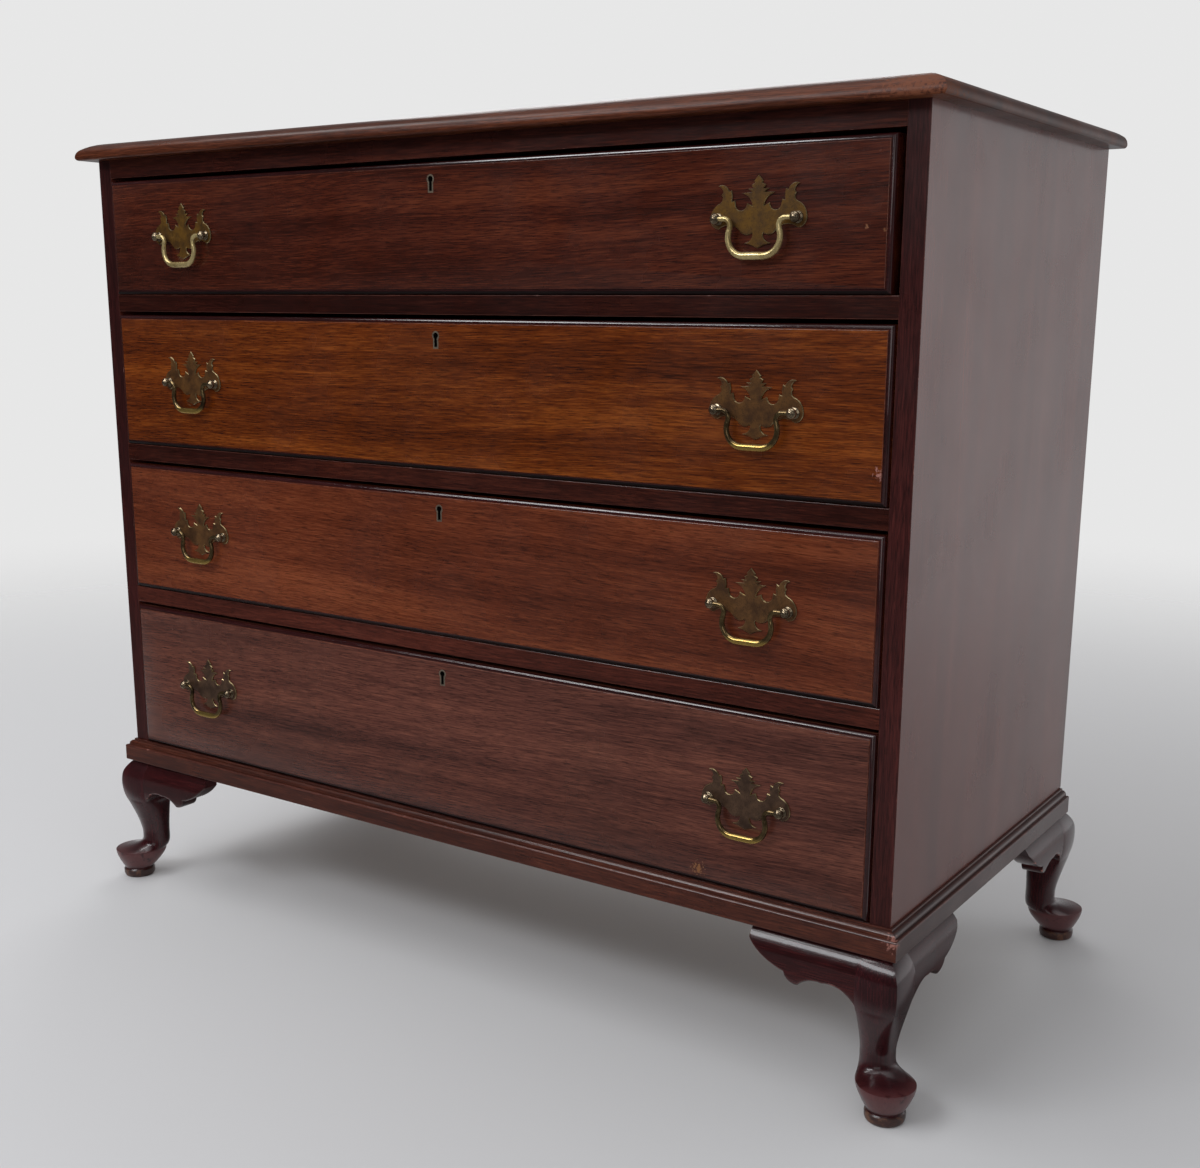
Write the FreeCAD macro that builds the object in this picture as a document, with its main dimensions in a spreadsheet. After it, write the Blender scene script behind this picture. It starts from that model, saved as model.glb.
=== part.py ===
import FreeCAD, Part
import math
import os
import re

import Sketcher
from FreeCAD import Placement, Rotation, Vector

# Bachelor's chest: four graduated drawers in a mahogany case on short cabriole legs, with brass batwing pulls.
# Millimetres, +Z up. The origin is on the floor under the middle of the case, and the drawers face -Y.

SIZES = {
    # case
    "carcass_width": 1016,
    "carcass_depth": 473,
    "side_thickness": 20,
    "stile_depth": 12,
    "rail_height": 19,
    "rail_depth": 60,
    "top_rail_height": 20,
    "back_thickness": 6,
    "back_rebate": 10,
    "runner_width": 45,
    "housing_depth": 6,
    "dust_panel_thickness": 4,
    "panel_tongue": 6,
    # drawer openings, from the top down
    "opening_1": 130,
    "opening_2": 154,
    "opening_3": 154,
    "opening_4": 178,
    # top
    "top_thickness": 19.5,
    "top_overhang": 18.5,
    "top_nose_radius": 3.5,
    "top_slope_width": 30,
    "top_shoulder_radius": 10,
    # base moulding
    "base_height": 26.5,
    "base_overhang": 10.5,
    "fascia_height": 18,
    "base_quirk": 1,
    "base_ovolo": 4.5,
    "base_fillet": 2.5,
    # cabriole legs and knee brackets; a drop is measured down from the top of the leg
    "leg_height": 153.3,
    "leg_post": 25,
    "knee_top_offset": 9.5,
    "knee_swell": 15.8,
    "knee_swell_drop": 30,
    "knee_drop": 51.5,
    "ankle_height": 57.5,
    "ankle_radius": 16.3,
    "ankle_set_back": 15.4,
    "rim_height": 35.5,
    "rim_radius": 27,
    "foot_reach": 8,
    "pad_height": 11.5,
    "pad_radius": 18.8,
    "pad_bevel": 2.5,
    "bracket_length": 134,
    "bracket_end_drop": 12,
    "bracket_step_drop": 35,
    "bracket_lobe_drop": 45.5,
    "bracket_arch_drop": 36.5,
    "bracket_back": 8,
    "glue_block": 22,
    "glue_block_length": 70,
    # drawers
    "front_thickness": 20,
    "front_proud": 3.8,
    "front_step": 1,
    "front_moulding": 4.7,
    "front_ovolo": 4.2,
    "front_gap_side": 1.75,
    "front_gap_bottom": 0.5,
    "front_gap_top": 4,
    "top_drawer_gap_side": 4,
    "top_drawer_shift": 2.7,
    "drawer_length": 440,
    "drawer_side_thickness": 12,
    "drawer_side_set_in": 0.3,
    "drawer_side_top_gap": 6,
    "drawer_back_thickness": 12,
    "drawer_back_drop": 5,
    "runner_gap": 0.3,
    "drawer_bottom_thickness": 6,
    "drawer_bottom_groove": 6,
    "drawer_bottom_lift": 8,
    "tail_length": 12,
    "tail_width": 26,
    "tail_slope": 3,
    # locks
    "lock_width": 50,
    "lock_height": 36,
    "lock_depth": 9,
    "bolt_width": 20,
    "bolt_thickness": 4.5,
    "bolt_height": 15,
    "bolt_throw": 10,
    "bolt_clearance": 0.5,
    "bolt_drop": 0.3,
    "keyhole_drop": 22.7,
    "keyhole_length": 12.8,
    "keyhole_top_radius": 4.7,
    "keyhole_slot_width": 6.8,
    "keyhole_wall": 1.7,
    # pulls
    "pull_inset": 125.8,
    "post_spacing": 76,
    "post_reach": 5.9,
    "post_foot_radius": 4.6,
    "post_neck_radius": 2.7,
    "post_head_radius": 4.1,
    "post_shank": 4,
    "post_shank_end": 5,
    "shank_clearance": 0.2,
    "plate_thickness": 1.6,
    "plate_width": 91.2,
    "plate_height": 58.6,
    "bail_drop": 30.9,
    "bail_radius": 2.7,
    "bail_swell_radius": 3.5,
    "bail_top_inset": 16.4,
    "bail_bottom_inset": 8.7,
    "bail_top_bend": 6,
    "bail_bottom_bend": 13,
    "bail_end_gap": 0.8,
    "pivot_radius": 1.5,
    "pivot_clearance": 0.05,
}

OPENING = "opening_"
DRAWERS = tuple(int(name.removeprefix(OPENING)) for name in SIZES if name.startswith(OPENING))
SIDES = {"left": -1, "right": 1}
FIRST_COLUMN, SECOND_COLUMN = "A", "B"

doc = FreeCAD.newDocument("bachelors_chest")
sheet = doc.addObject("Spreadsheet::Sheet", "Sizes")
for row, (name, value) in enumerate(SIZES.items(), 1):
    sheet.set(f"{FIRST_COLUMN}{row}", name)
    sheet.set(f"{SECOND_COLUMN}{row}", str(value))
    sheet.setAlias(f"{SECOND_COLUMN}{row}", name)
doc.recompute()

nodes = []


def size(name):
    """The number that the sheet holds under this name."""
    return float(sheet.get(name))


def cells(text):
    """An expression with every size's name turned into its cell of the sheet."""
    def cell(word):
        name = word.group()
        return "Sizes." + name if name in SIZES else name

    return re.sub(r"[a-z][a-z_0-9]+", cell, text)


def bind(obj, **texts):
    """Tie properties to expressions; a double underscore in a name stands for a dot."""
    for prop, text in texts.items():
        obj.setExpression(prop.replace("__", "."), cells(text))


def seat(obj, x, y, z):
    """Tie an object's place to three expressions."""
    bind(obj, Placement__Base__x=x, Placement__Base__y=y, Placement__Base__z=z)


def node(obj, label):
    """Give a finished sub-part its own label and list it for export."""
    obj.Label = label
    nodes.append(obj)
    return obj


def block(name, x, y, z):
    """A rectangular block between three pairs of expressions."""
    obj = doc.addObject("Part::Box", name)
    bind(obj, Length=f"({x[1]}) - ({x[0]})", Width=f"({y[1]}) - ({y[0]})", Height=f"({z[1]}) - ({z[0]})")
    seat(obj, x[0], y[0], z[0])
    return obj


def rod(name, radius, length, x, y, z):
    """A twelve-sided rod that runs forward, towards -Y, from its seat."""
    obj = doc.addObject("Part::Prism", name)
    obj.Polygon = 12
    obj.Placement = Placement(Vector(), Rotation(Vector(1, 0, 0), 90))
    bind(obj, Circumradius=radius, Height=length)
    seat(obj, x, y, z)
    return obj


def group(name, pieces):
    obj = doc.addObject("Part::Compound", name)
    obj.Links = pieces
    return obj


def fuse(name, pieces):
    obj = doc.addObject("Part::MultiFuse", name)
    obj.Shapes = pieces
    return obj


def cut(name, base, tools):
    obj = doc.addObject("Part::Cut", name)
    obj.Base = base
    obj.Tool = tools[0] if len(tools) == 1 else fuse(name + "_tools", tools)
    return obj


def solid_piece(name, shape):
    """A piece that is shaped by free curves."""
    obj = doc.addObject("Part::Feature", name)
    obj.Shape = shape
    return obj


def span(side, near, far):
    """The pair of expressions from near to far of the middle, on the left or the right."""
    return (near, far) if side > 0 else (f"-({far})", f"-({near})")


def line(start, end):
    return Part.LineSegment(start, end).toShape()


def arc(start, middle, end):
    return Part.Arc(start, middle, end).toShape()


def face(edges):
    return Part.Face(Part.Wire(edges))


# Lines that the pieces share
HALF = "carcass_width / 2"
FRONT = "-carcass_depth / 2"
BACK = "carcass_depth / 2"
INSIDE = f"({HALF} - side_thickness)"
RAIL_BACK = f"({FRONT} + rail_depth)"
BACK_FACE = f"({BACK} - back_thickness)"


def floor(k):
    """Height of the bottom of drawer k's opening."""
    if k == DRAWERS[-1]:
        return "(leg_height + base_height)"
    return f"({ceiling(k + 1)} + rail_height)"


def ceiling(k):
    return f"({floor(k)} + opening_{k})"


CASE_TOP = f"({ceiling(1)} + top_rail_height)"


# Case: sides, face frame, web frames, dust panels and back

runners = {"left": [], "right": []}
frame_blocks = []
for level in DRAWERS + ("kicker",):
    if level == "kicker":
        heights = (f"{CASE_TOP} - top_rail_height", CASE_TOP)
    else:
        heights = (f"{floor(level)} - rail_height", floor(level))
    runner_inside = f"({INSIDE} - runner_width)"
    for hand, side in SIDES.items():
        across = span(side, runner_inside, f"{INSIDE} + housing_depth")
        runner = block(f"runner_{level}_{hand}", across, (RAIL_BACK, BACK_FACE), heights)
        runners[hand].append(runner)
        frame_blocks.append(runner)
    rear = (f"{BACK_FACE} - runner_width", BACK_FACE)
    frame_blocks.append(block(f"rear_rail_{level}", (f"-{runner_inside}", runner_inside), rear, heights))

panels = []
for k in DRAWERS:
    reach = f"({INSIDE} - runner_width + panel_tongue)"
    under = f"({floor(k)} - rail_height / 2 - dust_panel_thickness / 2)"
    panels.append(block(
        f"dust_panel_{k}", (f"-{reach}", reach),
        (f"{RAIL_BACK} - panel_tongue", f"{BACK_FACE} - runner_width + panel_tongue"),
        (under, f"{under} + dust_panel_thickness")))
dust_panels = node(group("dust_panel_group", panels), "dust_panels")

for hand, side in SIDES.items():
    board = block(
        f"{hand}_side_board", span(side, INSIDE, HALF),
        (f"{FRONT} + stile_depth", BACK), ("leg_height", CASE_TOP))
    rebate = block(
        f"{hand}_back_rebate", span(side, INSIDE, f"{INSIDE} + back_rebate"),
        (BACK_FACE, BACK), ("leg_height", CASE_TOP))
    node(cut(f"{hand}_side", board, [rebate] + runners[hand]), f"{hand}_side_panel")
    stile = block(
        f"{hand}_stile_strip", span(side, INSIDE, HALF),
        (FRONT, f"{FRONT} + stile_depth"), ("leg_height", CASE_TOP))
    node(stile, f"{hand}_stile")

back_reach = f"({INSIDE} + back_rebate)"
back_board = block("back_board", (f"-{back_reach}", back_reach), (BACK_FACE, BACK), ("leg_height", CASE_TOP))
node(back_board, "back_panel")


# Lock bolts and the mortises that they shoot into, one for each drawer

FRONT_BACK = f"({FRONT} + front_thickness - front_proud)"
BOLT_FACE = f"({FRONT_BACK} - lock_depth / 2 - bolt_thickness / 2)"


def drawer_middle(k):
    return "(-top_drawer_shift)" if k == 1 else "0"


def front_half(k):
    gap = "top_drawer_gap_side" if k == 1 else "front_gap_side"
    return f"({INSIDE} - {gap})"


def front_top(k):
    return f"({ceiling(k)} - front_gap_top)"


def around_bolt(name, k, heights):
    """A slot that takes the bolt of drawer k with its clearance all round."""
    half = "(bolt_width / 2 + bolt_clearance)"
    return block(
        name, (f"{drawer_middle(k)} - {half}", f"{drawer_middle(k)} + {half}"),
        (f"{BOLT_FACE} - bolt_clearance", f"{BOLT_FACE} + bolt_thickness + bolt_clearance"), heights)


mortises = {
    k: around_bolt(f"mortise_{k}", k, (ceiling(k), f"{front_top(k)} + bolt_throw + bolt_clearance"))
    for k in DRAWERS}

across = (f"-{INSIDE}", INSIDE)
top_rail_block = block("top_rail_block", across, (FRONT, RAIL_BACK), (ceiling(1), CASE_TOP))
node(cut("top_rail_cut", top_rail_block, [mortises[1]]), "top_rail")
rails = []
for k in DRAWERS:
    low = "leg_height" if k == DRAWERS[-1] else f"{floor(k)} - rail_height"
    rail = block(f"rail_block_{k}", across, (FRONT, RAIL_BACK), (low, floor(k)))
    below = [mortises[k + 1]] if k + 1 in mortises else []
    rails.append(cut(f"rail_{k}", rail, [panels[k - 1]] + below))
node(group("rail_group", rails), "drawer_rails")


# Top: a thumbnail edge on the front and both ends, mitred at the front corners

def thumbnail(at):
    """Section of the moulded edge; at turns a distance in from the nose and a height into a point."""
    nose, slope, thick = size("top_nose_radius"), size("top_slope_width"), size("top_thickness")
    shoulder, rise = size("top_shoulder_radius"), size("top_thickness") - size("top_nose_radius")
    crown = ((slope - shoulder) ** 2 + rise ** 2 - shoulder ** 2) / (2 * (rise - shoulder))
    lean = math.atan2(slope - shoulder, crown - rise)

    def on_crown(angle):
        return at(slope - crown * math.sin(angle), thick - crown * (1 - math.cos(angle)))

    def on_circle(middle, radius, angle):
        return at(middle - radius * math.cos(angle), nose + radius * math.sin(angle))

    meet = math.pi / 2 - lean
    edges = [
        arc(at(nose, 0), on_circle(nose, nose, -math.pi / 4), at(0, nose)),
        arc(at(0, nose), on_circle(shoulder, shoulder, meet / 2), on_circle(shoulder, shoulder, meet)),
        arc(on_crown(lean), on_crown(lean / 2), at(slope, thick)),
        line(at(slope, thick), at(slope, 0)), line(at(slope, 0), at(nose, 0))]
    return face(edges)


def plan_prism(corners, low, high):
    """An upright prism over a plan of straight sides."""
    points = [Vector(x, y, low) for x, y in corners]
    sides = [line(a, b) for a, b in zip(points, points[1:] + points[:1])]
    return face(sides).extrude(Vector(0, 0, high - low))


def top_shape():
    """A flat board with three moulded strips, each cut to its mitres and joined to it."""
    overhang, slope, thick = size("top_overhang"), size("top_slope_width"), size("top_thickness")
    half, back = size("carcass_width") / 2 + overhang, size("carcass_depth") / 2
    front = -back - overhang
    board = plan_prism([(slope - half, front + slope), (half - slope, front + slope), (half - slope, back),
                        (slope - half, back)], 0, thick)
    strip = thumbnail(lambda inward, height: Vector(-half, front + inward, height))
    strip = strip.extrude(Vector(2 * half, 0, 0))
    plan = [(-half, front), (half, front), (half - slope, front + slope), (slope - half, front + slope)]
    mitred = [strip.common(plan_prism(plan, 0, thick))]
    for side in SIDES.values():
        strip = thumbnail(lambda inward, height: Vector(side * (half - inward), front, height))
        strip = strip.extrude(Vector(0, back - front, 0))
        plan = [(half, front), (half, back), (half - slope, back), (half - slope, front + slope)]
        mitred.append(strip.common(plan_prism([(side * x, y) for x, y in plan], 0, thick)))
    return board.multiFuse(mitred).removeSplitter()


top_board = node(solid_piece("top_board", top_shape()), "top_panel")
seat(top_board, "0", "0", CASE_TOP)
framed = []
for piece in frame_blocks:
    if piece.Name.startswith(("runner_kicker", "rear_rail_kicker")):
        framed.append(piece)
    else:
        level = int(re.search(r"\d", piece.Name).group())
        framed.append(cut(piece.Name + "_grooved", piece, [panels[level - 1]]))
node(group("frame_group", framed), "web_frames")


# Base moulding: one profile, mitred at the two front corners

def base_profile(at):
    """The moulding's section; at turns an outward offset and a height into a point."""
    out, high = size("base_overhang"), size("base_height")
    fascia, quirk = size("fascia_height"), size("base_quirk")
    ovolo, fillet = size("base_ovolo"), size("base_fillet")
    bead = fillet + ovolo
    shoulder = high - base_step() - ovolo
    bulge = ovolo * math.sqrt(0.5)
    corners = [at(fillet, high - base_step()), at(fillet, high), at(0, high), at(0, 0), at(out, 0),
               at(out, fascia), at(out - quirk, fascia + quirk), at(bead, fascia + quirk), at(bead, shoulder)]
    edges = [line(a, b) for a, b in zip(corners, corners[1:]) if a.distanceToPoint(b) > 1e-6]
    edges.append(arc(corners[-1], at(fillet + bulge, shoulder + bulge), corners[0]))
    return face(edges)


def base_step():
    """Height of the small fillet over the ovolo, what the other members leave of the moulding."""
    return size("base_height") - size("fascia_height") - 2 * size("base_quirk") - size("base_ovolo")


def base_shape(where):
    out, low = size("base_overhang"), size("leg_height")
    half, deep = size("carcass_width") / 2, size("carcass_depth") / 2
    if where == "front":
        run = base_profile(lambda offset, height: Vector(-half - out, -deep - offset, low + height))
        run = run.extrude(Vector(2 * (half + out), 0, 0))
        plan = [(-half - out, -deep - out), (half + out, -deep - out), (half, -deep), (-half, -deep)]
    else:
        side = SIDES[where]
        run = base_profile(lambda offset, height: Vector(side * (half + offset), -deep - out, low + height))
        run = run.extrude(Vector(0, 2 * deep + out, 0))
        plan = [(half, -deep), (half + out, -deep - out), (half + out, deep), (half, deep)]
        plan = [(side * x, y) for x, y in plan]
    return run.common(plan_prism(plan, low, low + size("base_height")))


for where in ("front", "left", "right"):
    node(solid_piece(f"base_{where}", base_shape(where)), f"base_moulding_{where}")


# Cabriole legs and knee brackets. A leg is drawn at the corner of the case over +X and +Y, with the
# corner on the Z axis, and turned to the other corners.

def knee_bottom():
    return size("leg_height") - size("knee_drop")


def knee_offset(height):
    """How far the knee swells past the case at a height: one arc through its top and its fullest point."""
    rise = size("knee_swell_drop")
    fall = size("knee_swell") - size("knee_top_offset")
    radius = (rise ** 2 + fall ** 2) / (2 * fall)
    above = height - (size("leg_height") - rise)
    return size("knee_swell") - radius + math.sqrt(radius ** 2 - above ** 2)


def knee_profile(back, bottom, at):
    """Section of the knee from its back to its swelling face; at turns an offset and a height into a point."""
    top = size("leg_height")
    middle = (top + bottom) / 2
    corners = [at(knee_offset(top), top), at(-back, top), at(-back, bottom), at(knee_offset(bottom), bottom)]
    edges = [line(a, b) for a, b in zip(corners, corners[1:])]
    edges.append(arc(corners[-1], at(knee_offset(middle), middle), corners[0]))
    return face(edges)


# Shares of the way down the shank and the foot at which the leg has a section, and how the leg leans there
SHANK_SHARES, SHANK_EASE = (0.5, 1), 1.4
FOOT_SHARES, FOOT_FLARE = (0.5, 0.8, 1), 2.6


def leg_section(height, toe, heel, middle, half_width, roundness):
    """One closed section: four sides between toe, heel and flanks, from straight (0) to elliptical (1)."""
    diagonal = math.sqrt(0.5)
    reach = 0.5 + roundness * (diagonal - 0.5)

    def point(along, across):
        return Vector((along + across) * diagonal, (along - across) * diagonal, height)

    corners = [point(toe, 0), point(middle, half_width), point(heel, 0), point(middle, -half_width)]
    ends = [(toe, 1), (heel, 1), (heel, -1), (toe, -1)]
    edges = []
    for (tip, hand), start, stop in zip(ends, corners, corners[1:] + corners[:1]):
        bulge = point(middle + (tip - middle) * reach, hand * half_width * reach)
        edges.append(arc(start, bulge, stop) if roundness else line(start, stop))
    return Part.Wire(edges)


def blend(start, stop, share):
    return [a + (b - a) * share for a, b in zip(start, stop)]


def disc(middle, radius):
    """Toe, heel, middle and half width of a round section."""
    return [middle + radius, middle - radius, middle, radius]


def leg_shape():
    """A knee block, and a shank lofted down to the ankle, out to the rim of the foot and in to its pad."""
    root = math.sqrt(2)
    bottom, post = knee_bottom(), size("leg_post")
    knee = knee_offset(bottom)
    corner_a = knee_profile(post, bottom, lambda offset, height: Vector(offset, -post, height))
    corner_b = knee_profile(post, bottom, lambda offset, height: Vector(-post, offset, height))
    reach = post + size("knee_swell")
    knee_block = corner_a.extrude(Vector(0, reach, 0)).common(corner_b.extrude(Vector(reach, 0, 0)))
    foot, pad = size("foot_reach"), size("pad_radius")
    knee_square = [knee * root, -post * root, (knee - post) / root, (knee + post) / root]
    ankle, rim = disc(-size("ankle_set_back"), size("ankle_radius")), disc(foot, size("rim_radius"))
    sections = [leg_section(bottom, *knee_square, 0)]
    for share in SHANK_SHARES:
        height = bottom + (size("ankle_height") - bottom) * share
        eased = 1 - (1 - share) ** SHANK_EASE
        sections.append(leg_section(height, *blend(knee_square, ankle, eased), share))
    for share in FOOT_SHARES:
        height = size("ankle_height") + (size("rim_height") - size("ankle_height")) * share
        sections.append(leg_section(height, *blend(ankle, rim, share ** FOOT_FLARE), 1))
    for height, radius in ((size("pad_height"), pad), (0, pad - size("pad_bevel"))):
        sections.append(leg_section(height, *disc(foot, radius), 1))
    return Part.makeLoft(sections, True, True).fuse(knee_block)


# Places along a bracket, as shares of its run from the leg: the arch's crown, the lobe's tip and the step
ARCH_SHARE, LOBE_SHARE, STEP_SHARE = 0.3, 0.53, 0.65


def bracket_shape():
    """One scroll-cut bracket on the leg's +Y face, running from the leg towards -X."""
    top, bottom, post = size("leg_height"), knee_bottom(), size("leg_post")
    arch, lobe = top - size("bracket_arch_drop"), top - size("bracket_lobe_drop")
    step, end = top - size("bracket_step_drop"), top - size("bracket_end_drop")
    run = size("bracket_length") - post

    def point(share, height):
        return Vector(-post - run * share, -size("bracket_back"), height)

    corners = [point(1, end), point(1, top), point(0, top), point(0, bottom)]
    turns = [corners[-1], point(ARCH_SHARE, arch), point(LOBE_SHARE, lobe), point(STEP_SHARE, step), corners[0]]
    bulges = [
        point(0.3 * ARCH_SHARE, (bottom + 3 * arch) / 4),
        point((3 * ARCH_SHARE + 5 * LOBE_SHARE) / 8, (3 * arch + lobe) / 4),
        point((LOBE_SHARE + 3 * STEP_SHARE) / 4, (2 * lobe + step) / 3),
        point((2 * STEP_SHARE + 3) / 5, (3 * step + 2 * end) / 5)]
    edges = [line(a, b) for a, b in zip(corners, corners[1:])]
    edges += [arc(a, bulge, b) for a, bulge, b in zip(turns, bulges, turns[1:])]
    scroll = face(edges).extrude(Vector(0, size("bracket_back") + 2 * size("knee_swell"), 0))
    lowest = min(lobe, bottom)
    swell = knee_profile(size("bracket_back"), lowest, lambda offset, height: Vector(-post, offset, height))
    return scroll.common(swell.extrude(Vector(-run, 0, 0)))


def glue_block_shape():
    """A triangular block rubbed into the angle behind one bracket."""
    top, thick, back = size("leg_height"), size("glue_block"), size("bracket_back")
    start = -(size("leg_post") + size("bracket_length")) / 2 + size("glue_block_length") / 2
    corners = [Vector(start, -back, top), Vector(start, -back - thick, top), Vector(start, -back, top - thick)]
    triangle = face([line(a, b) for a, b in zip(corners, corners[1:] + corners[:1])])
    return triangle.extrude(Vector(-size("glue_block_length"), 0, 0))


def both_hands(shape):
    """A piece for the +Y face of a leg and its mirror image for the +X face."""
    return [shape, shape.mirror(Vector(), Vector(1, -1, 0))]


CORNERS = ((1, 1, 0), (-1, 1, 90), (-1, -1, 180), (1, -1, 270))
leg = leg_shape()
bracket_pair, glue_pair = both_hands(bracket_shape()), both_hands(glue_block_shape())
legs, brackets, glue_blocks = [], [], []
for side, end, turn in CORNERS:
    corner = Vector(side * size("carcass_width") / 2, end * size("carcass_depth") / 2, 0)
    where = Placement(corner, Rotation(Vector(0, 0, 1), turn))
    legs.append(leg.transformed(where.toMatrix()))
    brackets += [piece.transformed(where.toMatrix()) for piece in bracket_pair]
    glue_blocks += [piece.transformed(where.toMatrix()) for piece in glue_pair]
node(solid_piece("leg_group", Part.Compound(legs)), "cabriole_legs")
node(solid_piece("bracket_group", Part.Compound(brackets)), "knee_brackets")
node(solid_piece("glue_block_group", Part.Compound(glue_blocks)), "glue_blocks")


# Pulls. Each is drawn about the middle of its two posts, on the drawer face, looking from the front

# Right half of the plate's outline, from its top tip to its bottom tip, scaled to the plate's own size below
PLATE_HALF = [
    (0, 34.6), (3.8, 30.3), (2.6, 28.9), (6.2, 26.9), (4.1, 23.7), (9, 23.9), (6, 21.1), (14.5, 20.7),
    (8.2, 17), (4.8, 9.4), (10.5, 12), (12.6, 7.2), (19.4, 7.2), (22.9, 14.4), (26.1, 22.9), (28.3, 21.9),
    (31.3, 26.2), (37.9, 27.3), (34.2, 24.4), (35, 19.8), (34.8, 14), (41, 9.6), (45, 4.6), (45.6, -1.6),
    (42.8, -6.3), (37.5, -8), (27, -4.6), (17.2, -9.1), (11, -13), (4.6, -11.6), (6, -17.4), (11.7, -20.3),
    (0, -24)]


def plate_shape():
    """A batwing back plate: half an outline and its mirror image, pierced for the two posts."""
    wide = size("plate_width") / 2 / max(x for x, z in PLATE_HALF)
    high = size("plate_height") / (PLATE_HALF[0][1] - PLATE_HALF[-1][1])
    right = [Vector(x * wide, 0, z * high) for x, z in PLATE_HALF]
    left = [Vector(-at.x, 0, at.z) for at in right[-2:0:-1]]
    outline = Part.Face(Part.makePolygon(right + left + right[:1]))
    plate = outline.extrude(Vector(0, -size("plate_thickness"), 0))
    hole = size("post_shank") + 2 * size("shank_clearance")
    for hand in SIDES.values():
        at = Vector(hand * size("post_spacing") / 2 - hole / 2, -size("plate_thickness"), -hole / 2)
        plate = plate.cut(Part.makeBox(hole, size("plate_thickness"), hole, at))
    return plate


PULL_SIDES = 6


def ring(centre, radius, across, along, stretch=1):
    """Points about a centre, evenly spaced, with a flat towards the second of two directions."""
    points = []
    for step in range(PULL_SIDES):
        angle = math.pi / PULL_SIDES * (2 * step + 1) + math.pi / 2
        points.append(centre + across * radius * stretch * math.cos(angle) + along * radius * math.sin(angle))
    return points


def skin(rings):
    """A solid of flat faces between rings of points, closed at both ends."""
    outlines = [rings[0], rings[-1]]
    for first, second in zip(rings, rings[1:]):
        outlines += [[first[i - 1], first[i], second[i], second[i - 1]] for i in range(len(first))]
    shell = Part.Shell([Part.Face(Part.makePolygon(outline + outline[:1])) for outline in outlines])
    shell.sewShape()
    solid = Part.Solid(shell)
    return solid if solid.Volume > 0 else solid.reversed()


def post_shape():
    """A post with a bored head, and the square shank that passes through the plate and the drawer front."""
    start, foot = -size("plate_thickness"), size("post_foot_radius")
    neck, head = size("post_neck_radius"), size("post_head_radius")
    middle = start - size("post_reach")
    turned = [(foot, start), (neck, middle + head), (head, middle + head / 2), (head, middle - head / 2),
              (neck, middle - head)]
    across, up = Vector(1, 0, 0), Vector(0, 0, 1)
    post = skin([ring(Vector(0, y, 0), radius, across, up) for radius, y in turned])
    bore_radius = size("pivot_radius") / math.cos(math.pi / PULL_SIDES)
    bore = skin([ring(Vector(x, middle, 0), bore_radius, Vector(0, 1, 0), up) for x in (-2 * head, 2 * head)])
    return post.cut(bore).fuse(shank_shape(size("post_shank")))


def shank_shape(width):
    """The square shank, or the hole for it, from the plate through the drawer front."""
    long = size("plate_thickness") + size("front_thickness") + size("post_shank_end")
    return Part.makeBox(width, long, width, Vector(-width / 2, -size("plate_thickness"), -width / 2))


def bend(before, corner, after, radius, chords):
    """Points that round a corner of a path, on an arc of the given radius."""
    back, on = (before - corner).normalize(), (after - corner).normalize()
    half = back.getAngle(on) / 2
    inward = (back + on).normalize()
    centre = corner + inward * (radius / math.sin(half))
    spread = math.pi / 2 - half
    flat = (on - back).normalize()
    angles = [spread * (2 * step / chords - 1) for step in range(chords + 1)]
    return [centre - inward * radius * math.cos(angle) + flat * radius * math.sin(angle) for angle in angles]


def bail_shape():
    """A swan-neck bail, hanging from its two pivots, thicker in the middle of its grip."""
    half, drop = size("post_spacing") / 2, size("bail_drop")
    y = -size("plate_thickness") - size("post_reach")
    end = half - size("post_head_radius") - size("bail_end_gap")
    corners = [Vector(end, y, 0), Vector(half - size("bail_top_inset"), y, 0),
               Vector(half - size("bail_bottom_inset"), y, -drop), Vector(0, y, -drop)]
    path = [corners[0]]
    path += bend(*corners[:3], size("bail_top_bend"), 2)
    path += bend(*corners[1:], size("bail_bottom_bend"), 3)
    # A short plain stretch before the grip swells keeps every face of the rod flat
    path.append((path[-1] * 3 + corners[-1]) / 4)
    thick, pin = size("bail_radius"), size("pivot_radius") - size("pivot_clearance")
    shoulder = thick - pin
    stations = [(Vector(half, y, 0), pin), (corners[0] + Vector(shoulder, 0, 0), pin)]
    stations += [(point, thick) for point in path] + [(corners[-1], size("bail_swell_radius"))]
    stations += [(Vector(-at.x, at.y, at.z), radius) for at, radius in reversed(stations[:-1])]
    points = [at for at, radius in stations]
    forward = Vector(0, -1, 0)
    sections = []
    for before, (at, radius), after in zip(points[:1] + points, stations, points[1:] + points[-1:]):
        steps = [(b - a).normalize() for a, b in ((before, at), (at, after)) if a.distanceToPoint(b) > 0]
        along = (steps[0] + steps[-1]).normalize()
        sections.append(ring(at, radius, along.cross(forward), forward, 1 / along.dot(steps[0])))
    return skin(sections)


plate, post, bail = plate_shape(), post_shape(), bail_shape()


# Drawers

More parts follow.
